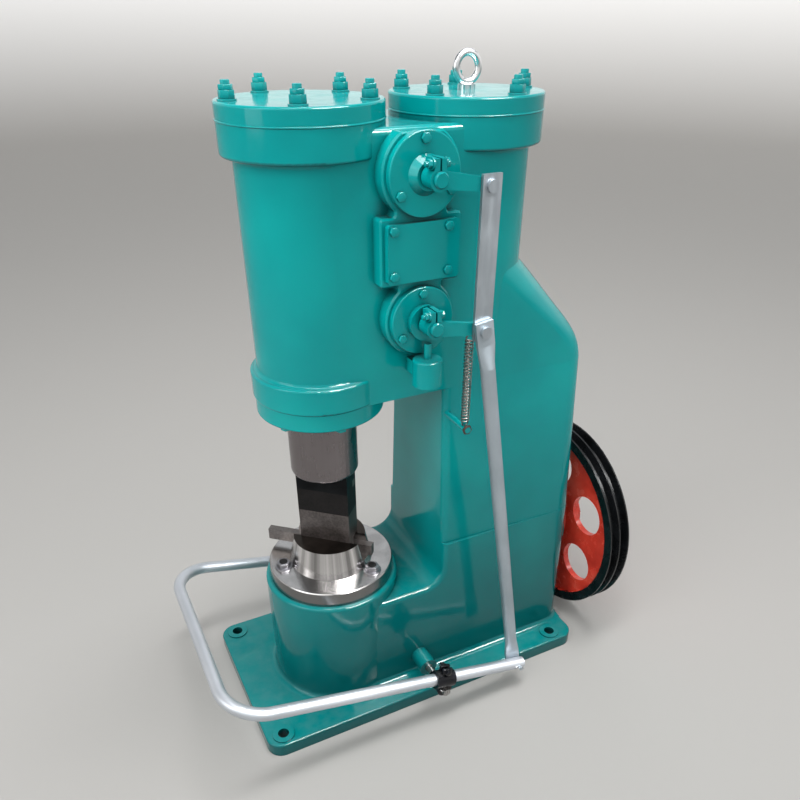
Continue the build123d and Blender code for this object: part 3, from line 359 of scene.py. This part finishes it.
finishes = {
    "ground_steel": shaftSteel, "turned_steel": turnedSteel, "forged_die_steel": dieSteel,
    "dark_steel": keySteel, "rolled_steel": rolledSteel, "zinc_pipe": zincPipe, "zinc_plate": zincPlate,
    "black_paint": blackPaint, "spring_steel": springSteel, "pulley_red": pulleyPaint,
    "teal_enamel": tealEnamel,
}
ownFinishes = {"ram": groundSteel, "upper_die": upperDieSteel, "crank_nut": studSteel, "link_tube": dullPipe}
for part in frame["record"]["subparts"]:
    node = nodes[part["node"]]
    node.data.materials.clear()
    node.data.materials.append(ownFinishes.get(part["node"], finishes[part["material_slot"]]))
print("materials made and given to the frame's nodes")


# Helpers that add shapes to a bmesh and finish it as a piece

def finishPiece(bm, name, material, body, smoothAngle=35):
    # clean the mesh, bring it to metres and make it an object that its body carries
    bmesh.ops.remove_doubles(bm, verts=bm.verts, dist=0.001)
    bmesh.ops.recalc_face_normals(bm, faces=bm.faces)
    bmesh.ops.transform(bm, matrix=Matrix.Scale(mm, 4), verts=bm.verts)
    mesh = bpy.data.meshes.new(name)
    bm.to_mesh(mesh)
    bm.free()
    mesh.materials.append(material)
    mesh.shade_smooth()
    mesh.set_sharp_from_angle(angle=radians(smoothAngle))
    piece = bpy.data.objects.new(name, mesh)
    bpy.context.scene.collection.objects.link(piece)
    if body:
        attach(piece, body)
    return piece


def facing(spot, direction, turn=0.0):
    # matrix that carries +Z to direction at a spot, turned about it first
    return (Matrix.Translation(Vector(spot)) @ Vector(direction).to_track_quat("Z", "Y").to_matrix().to_4x4()
            @ Matrix.Rotation(turn, 4, "Z"))


def edgesOf(verts):
    # each edge once, in a fixed order
    return list(dict.fromkeys(e for v in verts for e in v.link_edges))


def bevelEdges(bm, edges, size, segments):
    bmesh.ops.bevel(bm, geom=edges, offset=size, affect="EDGES", segments=segments, profile=0.5, material=-1)


def addPrism(bm, matrix, radius, low, high, sides):
    # closed prism between two heights; its edges come back
    made = bmesh.ops.create_cone(bm, cap_ends=True, cap_tris=False, segments=sides, radius1=radius,
                                 radius2=radius, depth=high - low,
                                 matrix=matrix @ Matrix.Translation((0, 0, (low + high) / 2)))
    return edgesOf(made["verts"])


def addRound(bm, matrix, radius, low, high, topBevel=0.6, lowBevel=0.0, sides=24):
    # cylinder with its rims bevelled
    edges = addPrism(bm, matrix, radius, low, high, sides)
    inverse = matrix.inverted()
    for level, size in ((low, lowBevel), (high, topBevel)):
        if size > 0:
            rim = [e for e in edges
                   if e.is_valid and all(abs((inverse @ v.co).z - level) < 0.01 for v in e.verts)]
            bevelEdges(bm, rim, size, 2)


def addHex(bm, matrix, acrossFlats, low, high, bevel=1.0):
    bevelEdges(bm, addPrism(bm, matrix, acrossFlats / 3 ** 0.5, low, high, 6), bevel, 3)


def addBlock(bm, matrix, size, bevel):
    made = bmesh.ops.create_cube(bm, size=1.0, matrix=matrix @ Matrix.Diagonal(Vector(size).to_4d()))
    bevelEdges(bm, edgesOf(made["verts"]), bevel, 3)


# flats, nut, head and the jam nut's are shares of the thread's diameter, as on standard hexagon nuts; a
# washer is its radius as such a share and its top in mm; sink, washerLap and studSink are overlaps in mm
fastener = {"sink": 0.5, "flats": 1.58, "nut": 0.85, "head": 0.68, "jamFlats": 1.4, "jamNut": 0.5,
            "jamTurn": 0.5, "nutWasher": (1.06, 2.6), "boltWasher": (1.02, 2.0), "washerLap": 0.4,
            "studSink": 1.5}


def addStudNut(bm, matrix, thread, proud, jam=False):
    # washer, nut and the stud's end, on the face that the matrix stands on; a jam nut is thinner and turned
    washerShare, washerTop = fastener["nutWasher"]
    addRound(bm, matrix, thread * washerShare, -fastener["sink"], washerTop)
    base = washerTop - fastener["washerLap"]
    top = base + thread * fastener["nut"]
    addHex(bm, matrix, thread * fastener["flats"], base, top)
    if jam:
        turned = matrix @ Matrix.Rotation(fastener["jamTurn"], 4, "Z")
        addHex(bm, turned, thread * fastener["jamFlats"], top - fastener["washerLap"],
               top + thread * fastener["jamNut"])
        top += thread * fastener["jamNut"]
    addRound(bm, matrix, thread * 0.5, top - fastener["studSink"], top + proud, 1.2, sides=20)


def addHexBolt(bm, matrix, thread, washer=True, bevel=0.9):
    # bolt head, on a washer or on the face itself
    base = -fastener["sink"]
    if washer:
        washerShare, washerTop = fastener["boltWasher"]
        addRound(bm, matrix, thread * washerShare, base, washerTop, 0.5)
        base = washerTop - fastener["washerLap"]
    addHex(bm, matrix, thread * fastener["flats"], base, base + thread * fastener["head"], bevel)


def addRod(bm, path, radius, sides):
    # round rod along a list of points: a ring at each point, square to the run there, the rings bridged
    rings = []
    side = None
    for i, point in enumerate(path):
        before = path[max(i - 1, 0)]
        after = path[min(i + 1, len(path) - 1)]
        run = (Vector(after) - Vector(before)).normalized()
        if side is None:
            side = run.orthogonal().normalized()
        side = (side - run * side.dot(run)).normalized()
        turn = Matrix((side, run.cross(side), run)).transposed().to_4x4()
        made = bmesh.ops.create_circle(bm, cap_ends=i in (0, len(path) - 1), segments=sides, radius=radius,
                                       matrix=Matrix.Translation(Vector(point)) @ turn)
        rings.append([e for e in edgesOf(made["verts"]) if all(v in made["verts"] for v in e.verts)])
    for a, b in zip(rings, rings[1:]):
        bmesh.ops.bridge_loops(bm, edges=a + b)


def arcPoints(centre, first, second, radius, start, end, steps):
    # points on an arc: first and second are the directions at 0 and 90 degrees
    return [Vector(centre) + radius * (Vector(first) * cos(start + (end - start) * i / steps)
                                       + Vector(second) * sin(start + (end - start) * i / steps))
            for i in range(steps + 1)]


# Camera, light and floor

cameraSet = {
    "spot": (-0.5813, -1.1978, 1.3286), "look": (0.3678, 0.7338, -0.5711),      # metres, and a direction
    "lens": 32.6, "shiftY": 0.139,      # keeps the whole hammer in a square frame
}
cameraData = bpy.data.cameras.new("camera")
cameraData.lens = cameraSet["lens"]
cameraData.sensor_width = 36
cameraData.shift_y = cameraSet["shiftY"]
camera = bpy.data.objects.new("camera", cameraData)
camera.location = cameraSet["spot"]
camera.rotation_mode = "QUATERNION"
camera.rotation_quaternion = Vector(cameraSet["look"]).to_track_quat("-Z", "Y")
bpy.context.scene.collection.objects.link(camera)
bpy.context.scene.camera = camera

# Floor and backdrop in one: flat under the hammer, then curving up all round
floorSet = {"flat": 9.0, "curve": 3.0, "wallTop": 7.0, "colour": "#B5B3B0", "roughness": 0.7, "wallGlow": 0.6,
            "glowFrom": 1.6, "arcSteps": 12, "turnSteps": 96}
floorBm = bmesh.new()
profile = [(0, 0), (floorSet["flat"], 0)]
for i in range(1, floorSet["arcSteps"] + 1):
    angle = i / floorSet["arcSteps"] * pi / 2
    profile.append((floorSet["flat"] + floorSet["curve"] * sin(angle), floorSet["curve"] * (1 - cos(angle))))
profile.append((floorSet["flat"] + floorSet["curve"], floorSet["wallTop"]))
corners = [floorBm.verts.new((x, 0, z)) for x, z in profile]
sweep = corners + [floorBm.edges.new(pair) for pair in zip(corners, corners[1:])]
bmesh.ops.spin(floorBm, geom=sweep, cent=(0, 0, 0), axis=(0, 0, 1), angle=2 * pi, steps=floorSet["turnSteps"],
               use_merge=True, use_duplicate=False)
bmesh.ops.remove_doubles(floorBm, verts=floorBm.verts, dist=0.0001)
bmesh.ops.recalc_face_normals(floorBm, faces=floorBm.faces)
bmesh.ops.reverse_faces(floorBm, faces=floorBm.faces)
floorMesh = bpy.data.meshes.new("floor")
floorBm.to_mesh(floorMesh)
floorBm.free()
floorMesh.shade_smooth()
floor = bpy.data.objects.new("floor", floorMesh)
bpy.context.scene.collection.objects.link(floor)
floorMaterial, floorTree, floorShader, floorPlace = newMaterial("pale_floor", Specular_IOR_Level=0.2)
floorShader.inputs["Base Color"].default_value = linear(floorSet["colour"])
floorShader.inputs["Roughness"].default_value = floorSet["roughness"]
floorShader.inputs["Emission Color"].default_value = (1.0, 1.0, 1.0, 1.0)
floorHeight = addNode(floorTree, "ShaderNodeSeparateXYZ", "Z", {"Vector": floorPlace})
floorTree.links.new(addNode(floorTree, "ShaderNodeMapRange", "Result", {
    "Value": floorHeight, "From Min": 0.0, "From Max": floorSet["glowFrom"], "To Min": 0.0,
    "To Max": floorSet["wallGlow"]}), floorShader.inputs["Emission Strength"])
floorMesh.materials.append(floorMaterial)

# Broad soft daylight from the upper left, a strip overhead, a gloss-only panel that draws the bright lines on
# the upper edges, a window on the left, a low fill from the right, and a world brighter behind the hammer
daylight = {"spot": (-2.34, -1.50, 2.10), "strength": 1.32, "angle": 50, "colour": (1.0, 0.995, 0.98)}
panelTarget = (0, 0, 0.6)
panels = {
    "roofStrip": {"spot": (0.1, -0.4, 3.9), "size": (2.6, 0.7), "power": 95, "colour": (1.0, 1.0, 1.0)},
    "roofFront": {"spot": (1.2, -2.3, 3.9), "size": (2.8, 1.1), "power": 620, "colour": (1.0, 1.0, 1.0),
                  "only": "gloss"},
    "sideWindow": {"spot": (-3.0, -0.4, 1.9), "size": (1.5, 2.4), "power": 22, "colour": (1.0, 1.0, 1.0)},
    "rightFill": {"spot": (2.6, -2.6, 1.6), "size": (0.9, 2.0), "power": 7, "colour": (1.0, 0.99, 0.97),
                  "only": "diffuse"},
}
studio = {"colour": (0.90, 0.94, 0.97), "base": 0.11, "glow": 0.85, "towards": (0.45, 0.89, 0.25),
          "from": 0.35}


def addLamp(name, kind, spot, target, colour, **settings):
    lamp = bpy.data.lights.new(name, kind)
    lamp.color = colour
    for key, value in settings.items():
        setattr(lamp, key, value)
    holder = bpy.data.objects.new(name, lamp)
    holder.location = spot
    holder.rotation_mode = "QUATERNION"
    holder.rotation_quaternion = (Vector(target) - Vector(spot)).to_track_quat("-Z", "Y")
    holder.visible_camera = False
    bpy.context.scene.collection.objects.link(holder)
    return holder


addLamp("daylight", "SUN", daylight["spot"], (0, 0, 0), daylight["colour"],
        energy=daylight["strength"], angle=radians(daylight["angle"]))
for panelName, spec in panels.items():
    panel = addLamp(panelName, "AREA", spec["spot"], panelTarget, spec["colour"], energy=spec["power"],
                    shape="RECTANGLE", size=spec["size"][0], size_y=spec["size"][1])
    panel.visible_diffuse = spec.get("only") != "gloss"
    panel.visible_glossy = spec.get("only") != "diffuse"
world = bpy.data.worlds.new("studio")
bpy.context.scene.world = world
world.use_nodes = True
worldTree = world.node_tree
direction = addNode(worldTree, "ShaderNodeTexCoord", "Generated")
ahead = addNode(worldTree, "ShaderNodeVectorMath", "Value", {0: direction, 1: studio["towards"]},
                operation="DOT_PRODUCT")
background = worldTree.nodes["Background"]
background.inputs["Color"].default_value = studio["colour"] + (1,)
worldTree.links.new(addNode(worldTree, "ShaderNodeMapRange", "Result", {
    "Value": ahead, "From Min": studio["from"], "From Max": 1.0,
    "To Min": studio["base"], "To Max": studio["base"] + studio["glow"]}), background.inputs["Strength"])
bpy.context.scene.view_settings.view_transform = "Standard"
print("camera, lights and floor set")


# Fasteners on the covers

def boltAngles(count, start):
    # angles of bolts spread evenly round a circle, the first at start in degrees
    return [radians(start + i * 360 / count) for i in range(count)]


coverNuts = {"thread": 14.0, "circle": 111.0, "count": 5, "proud": 6.0, "turn": 1.7}
# centre of each cover and the angle of its first stud
coverStarts = {"ram_cylinder_cover": (ramX, 177.0), "compressor_cylinder_cover": (compX, 213.0)}
for coverName, (centreX, start) in coverStarts.items():
    bm = bmesh.new()
    for angle in boltAngles(coverNuts["count"], start):
        spot = (centreX + coverNuts["circle"] * cos(angle), coverNuts["circle"] * sin(angle),
                boxOf(coverName)[1].z)
        turn = angle * coverNuts["turn"]      # so that no two nuts stand alike
        addStudNut(bm, facing(spot, up, turn), coverNuts["thread"], coverNuts["proud"], jam=True)
    finishPiece(bm, coverName + "_nuts", tealEnamel, "frame")

# Bead of paint and gasket squeezed out at the joint of each cover
jointBead = {"radius": 130.6, "section": 1.7, "sides": 10, "height": 1190.0, "steps": 120}
for coverName, (centreX, start) in coverStarts.items():
    bm = bmesh.new()
    spot = Matrix.Translation((centreX + jointBead["radius"], 0, jointBead["height"]))
    section = bmesh.ops.create_circle(bm, cap_ends=False, segments=jointBead["sides"],
                                      radius=jointBead["section"],
                                      matrix=spot @ Matrix.Rotation(pi / 2, 4, "X"))["verts"]
    bmesh.ops.spin(bm, geom=section + edgesOf(section), cent=(centreX, 0, 0), axis=(0, 0, 1), angle=2 * pi,
                   steps=jointBead["steps"], use_merge=True, use_duplicate=False)
    finishPiece(bm, coverName + "_joint_bead", tealEnamel, "frame", smoothAngle=60)

# Bolts under the ram gland
glandBolts = {"thread": 12.0, "circle": 101.0, "count": 6, "start": -90.0}
glandFace = boxOf("ram_gland")[0].z
bm = bmesh.new()
for angle in boltAngles(glandBolts["count"], glandBolts["start"]):
    spot = (ramX + glandBolts["circle"] * cos(angle), glandBolts["circle"] * sin(angle), glandFace)
    addHexBolt(bm, facing(spot, -up, angle), glandBolts["thread"])
finishPiece(bm, "gland_bolts", tealEnamel, "frame")

# Bolts of the valve covers and of the plate between them, near side and far side
valveBolts = {"thread": 9.0, "bevel": 1.2, "highCircle": 51.0, "lowCircle": 47.0, "count": 3, "start": 92.0,
              "farCount": 4, "farStart": 45.0, "nearFace": -150.0, "farFace": 138.0,
              "plateHalf": (49.0, 35.0), "plateCentre": (-18.0, 1008.0), "plateTurn": 0.4}
bm = bmesh.new()
for height, circle in ((valveHigh, valveBolts["highCircle"]), (valveLow, valveBolts["lowCircle"])):
    for angle in boltAngles(valveBolts["count"], valveBolts["start"]):
        spot = (valveX + circle * cos(angle), valveBolts["nearFace"], height + circle * sin(angle))
        addHexBolt(bm, facing(spot, outward, angle), valveBolts["thread"], False, valveBolts["bevel"])
for sx in (-1, 1):
    for sz in (-1, 1):
        spot = (valveBolts["plateCentre"][0] + sx * valveBolts["plateHalf"][0], valveBolts["nearFace"],
                valveBolts["plateCentre"][1] + sz * valveBolts["plateHalf"][1])
        turn = valveBolts["plateTurn"] * sx + sz      # each head left where the spanner stopped
        addHexBolt(bm, facing(spot, outward, turn), valveBolts["thread"], False, valveBolts["bevel"])
finishPiece(bm, "valve_cover_bolts", tealEnamel, "frame")

bm = bmesh.new()
for height, circle in ((valveHigh, valveBolts["highCircle"]), (valveLow, valveBolts["lowCircle"])):
    for angle in boltAngles(valveBolts["farCount"], valveBolts["farStart"]):
        spot = (valveX + circle * cos(angle), valveBolts["farFace"], height + circle * sin(angle))
        addHexBolt(bm, facing(spot, -outward, angle), valveBolts["thread"], False, valveBolts["bevel"])
finishPiece(bm, "blind_cover_bolts", tealEnamel, "frame")

# Clamp bolts through the ears of the two lever hubs
earBolt = {"thread": 8.0, "rise": 22.0, "y": -189.0, "earHalf": 10.0, "turn": 0.3, "proud": 5.0}
for leverName, height in (("upper", valveHigh), ("lower", valveLow)):
    bm = bmesh.new()
    for side in (-1, 1):
        spot = (valveX + side * earBolt["earHalf"], earBolt["y"], height + earBolt["rise"])
        matrix = facing(spot, (side, 0, 0), earBolt["turn"])
        if side < 0:
            addStudNut(bm, matrix, earBolt["thread"], earBolt["proud"])
        else:
            addHexBolt(bm, matrix, earBolt["thread"])
    finishPiece(bm, leverName + "_lever_clamp_bolt", tealEnamel, leverName + "_lever")
print("cover, gland and valve fasteners made")


# Studs and nuts of the anvil's clamp ring

# flange, flats, height and stud are shares of the thread's diameter, the rest is in mm and radians
ringNuts = {"thread": 16.5, "circle": 107.0, "angles": (176.0, 304.0, 60.0), "turn": (0.35, 0.7),
            "flange": 1.15, "flangeTop": 2.8, "flats": 1.6, "nutFoot": 2.2, "height": 0.66, "bevel": 1.4,
            "stud": 0.54, "studSink": 3.0, "studProud": 1.5}
ringTop = boxOf("anvil_clamp_ring")[1].z
nutTop = ringNuts["nutFoot"] + ringNuts["thread"] * ringNuts["height"]
nutBm, studBm = bmesh.new(), bmesh.new()
for i, degrees in enumerate(ringNuts["angles"]):
    angle = radians(degrees)
    spot = (ramX + ringNuts["circle"] * cos(angle), ringNuts["circle"] * sin(angle), ringTop)
    matrix = facing(spot, up, angle + i * ringNuts["turn"][1] + ringNuts["turn"][0])
    addRound(nutBm, matrix, ringNuts["thread"] * ringNuts["flange"], -fastener["sink"],
             ringNuts["flangeTop"], 0.9)
    addHex(nutBm, matrix, ringNuts["thread"] * ringNuts["flats"], ringNuts["nutFoot"], nutTop,
           ringNuts["bevel"])
    addRound(studBm, matrix, ringNuts["thread"] * ringNuts["stud"], nutTop - ringNuts["studSink"],
             nutTop + ringNuts["studProud"], 1.0)
finishPiece(nutBm, "clamp_ring_nuts", nutSteel, "frame")
finishPiece(studBm, "clamp_ring_studs", studSteel, "frame")
print("anvil nuts made")


# Return spring, wound on the space of its node, its wire and pitch a little coarse so that the turns show

spring = {"coil": 7.1, "wire": 1.3, "wireSides": 7, "pitch": 5.8, "stepsPerTurn": 18, "hookRoom": (6.0, 5.0),
          "topHook": (1.5, 0.9), "lowHook": (2.0, 0.85),      # shift beyond the coil, share of its radius
          "hookFrom": 0.2, "hookTo": pi * 1.1, "hookSteps": 12}
springLow, springHigh = boxOf("return_spring")
centreX = (springLow.x + springHigh.x) / 2
centreY = (springLow.y + springHigh.y) / 2
coilLow, coilTop = springLow.z + spring["hookRoom"][0], springHigh.z - spring["hookRoom"][1]
turns = int((coilTop - coilLow) / spring["pitch"])
bm = bmesh.new()
start = Matrix.Translation((centreX + spring["coil"], centreY, coilLow)) @ Matrix.Rotation(pi / 2, 4, "X")
wire = bmesh.ops.create_circle(bm, cap_ends=False, segments=spring["wireSides"], radius=spring["wire"],
                               matrix=start)
steps = turns * spring["stepsPerTurn"]
bmesh.ops.spin(bm, geom=edgesOf(wire["verts"]), cent=(centreX, centreY, 0), axis=(0, 0, 1), steps=steps,
               angle=turns * 2 * pi, dvec=(0, 0, (coilTop - coilLow) / steps), use_duplicate=False)
# hooks at both ends
for coilEnd, heading, (shift, share) in ((coilTop, 1, spring["topHook"]), (coilLow, -1, spring["lowHook"])):
    hook = arcPoints((centreX, centreY, coilEnd + heading * shift), (1, 0, 0), (0, 0, heading),
                     spring["coil"] * share, spring["hookFrom"], spring["hookTo"], spring["hookSteps"])
    addRod(bm, [(centreX + spring["coil"], centreY, coilEnd)] + hook, spring["wire"], spring["wireSides"])
coil = finishPiece(bm, "return_spring_coil", springSteel, None, smoothAngle=60)
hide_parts("return_spring")
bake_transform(coil)

anchorNut = {"acrossFlats": 17.0, "thickness": 5.0, "inset": 6.0, "turn": 0.4}
anchorLow, anchorHigh = boxOf("spring_anchor")
bm = bmesh.new()
anchorEnd = ((anchorLow.x + anchorHigh.x) / 2, anchorLow.y + anchorNut["inset"],
             (anchorLow.z + anchorHigh.z) / 2)
addHex(bm, facing(anchorEnd, outward, anchorNut["turn"]), anchorNut["acrossFlats"], 0.0,
       anchorNut["thickness"])
finishPiece(bm, "spring_anchor_nut", rustySteel, "frame")
print("return spring wound:", turns, "turns")


# Treadle fittings

bothSides = (("near", -1), ("far", 1))

# start, bend and end are shares of the leg's length; apart, spread, legWire and eyeWire of the wire's radius
splitPin = {"wire": 1.4, "eye": 4.0, "leg": 17.0, "start": -0.45, "bend": 0.35, "end": 0.75,
            "apart": 0.9, "spread": 3.4, "bow": 0.5, "legWire": 0.75, "eyeWire": 0.8,
            "eyeHalf": pi * 0.8, "eyeSteps": 14, "sides": 8}


def addSplitPin(bm, spot, along, acrossDirection, size=1.0):
    # eye on one side of the pin it goes through, two legs spread a little on the other
    along, across = Vector(along).normalized(), Vector(acrossDirection).normalized()
    spot = Vector(spot)
    leg, eyeR, wireR = splitPin["leg"] * size, splitPin["eye"] * size, splitPin["wire"] * size
    eye = arcPoints(spot - along * (leg / 2 + eyeR), -along, across, eyeR, -splitPin["eyeHalf"],
                    splitPin["eyeHalf"], splitPin["eyeSteps"])
    addRod(bm, eye, wireR * splitPin["eyeWire"], splitPin["sides"])
    for sign in (-1, 1):
        beside = across * sign * wireR
        first = spot + along * leg * splitPin["start"] + beside * splitPin["apart"]
        mid = spot + along * leg * splitPin["bend"] + beside * splitPin["apart"]
        end = spot + along * leg * splitPin["end"] + beside * splitPin["spread"]
        bowed = (mid + end) / 2 + across * sign * splitPin["bow"]
        addRod(bm, [first, mid, bowed, end], wireR * splitPin["legWire"], splitPin["sides"])


pivot = {"z": 80.0, "end": 271.0, "washerY": 261.0, "washerR": 15.0, "washerLow": 0.2, "washerTop": 2.2,
         "washerBevel": 0.4, "pinInset": 6.5, "pinAlong": (0.8, 0, -0.6)}
for sideName, side in bothSides:
    bm = bmesh.new()
    pinSpot = (0, side * (pivot["end"] - pivot["pinInset"]), pivot["z"])
    addSplitPin(bm, pinSpot, pivot["pinAlong"], (0, 1, 0))
    finishPiece(bm, sideName + "_pivot_split_pin", zincPlate, "frame")
    bm = bmesh.new()
    addRound(bm, facing((0, side * pivot["washerY"], pivot["z"]), (0, side, 0)), pivot["washerR"],
             pivot["washerLow"], pivot["washerTop"], pivot["washerBevel"], pivot["washerBevel"])
    finishPiece(bm, sideName + "_pivot_washer", studSteel, "frame")

footSplitPin = {"inset": 5.2, "along": (0.85, 0, -0.5), "size": 0.85}
footLow, footHigh = boxOf("foot_pin")
footX, footZ = (footLow.x + footHigh.x) / 2, (footLow.z + footHigh.z) / 2
bm = bmesh.new()
addSplitPin(bm, (footX, footLow.y + footSplitPin["inset"], footZ), footSplitPin["along"], (0, 1, 0),
            footSplitPin["size"])
finishPiece(bm, "foot_pin_split_pin", zincPlate, "treadle")

# Ears on top of the treadle's clamps, drawn together by a bolt
clampEars = {"span": 251.0, "pipeZ": 107.7, "tilt": 13.2, "sleeveR": 20.0, "size": (24.0, 7.0, 17.0),
             "gap": 4.0, "rise": 4.5, "bevel": 1.6, "thread": 8.0, "proud": 4.0, "headTurn": 0.2,
             "nutTurn": 0.5}
alongPipe = Vector((cos(radians(clampEars["tilt"])), 0, -sin(radians(clampEars["tilt"]))))
upFromPipe = Vector((sin(radians(clampEars["tilt"])), 0, cos(radians(clampEars["tilt"]))))
across = Vector((0, 1, 0))
clampTurn = Matrix((alongPipe, across, upFromPipe)).transposed().to_4x4()
for sideName, side in bothSides:
    middle = Vector((0, side * clampEars["span"], clampEars["pipeZ"])) + upFromPipe * (
        clampEars["sleeveR"] + clampEars["rise"])
    bm = bmesh.new()
    for ear in (-1, 1):
        offset = across * ear * (clampEars["gap"] + clampEars["size"][1]) / 2
        addBlock(bm, Matrix.Translation(middle + offset) @ clampTurn, clampEars["size"], clampEars["bevel"])
    finishPiece(bm, sideName + "_clamp_ears", blackPaint, "treadle")
    bm = bmesh.new()
    toFace = across * side * (clampEars["gap"] / 2 + clampEars["size"][1])
    addHexBolt(bm, facing(middle + toFace + upFromPipe, across * side, clampEars["headTurn"]),
               clampEars["thread"])
    addStudNut(bm, facing(middle - toFace + upFromPipe, -across * side, clampEars["nutTurn"]),
               clampEars["thread"], clampEars["proud"])
    finishPiece(bm, sideName + "_clamp_bolt", blackPaint, "treadle")
print("treadle fittings made")


# Drive side

bearingBolts = {"thread": 10.0, "circle": 74.0, "count": 6, "start": 30.0}
capFace = boxOf("crank_bearing_cap")[1].x
bm = bmesh.new()
for angle in boltAngles(bearingBolts["count"], bearingBolts["start"]):
    spot = (capFace, bearingBolts["circle"] * cos(angle), crankZ + bearingBolts["circle"] * sin(angle))
    addHexBolt(bm, facing(spot, (1, 0, 0), angle), bearingBolts["thread"], washer=False)
finishPiece(bm, "bearing_cap_bolts", tealEnamel, "frame")

print("pieces made")
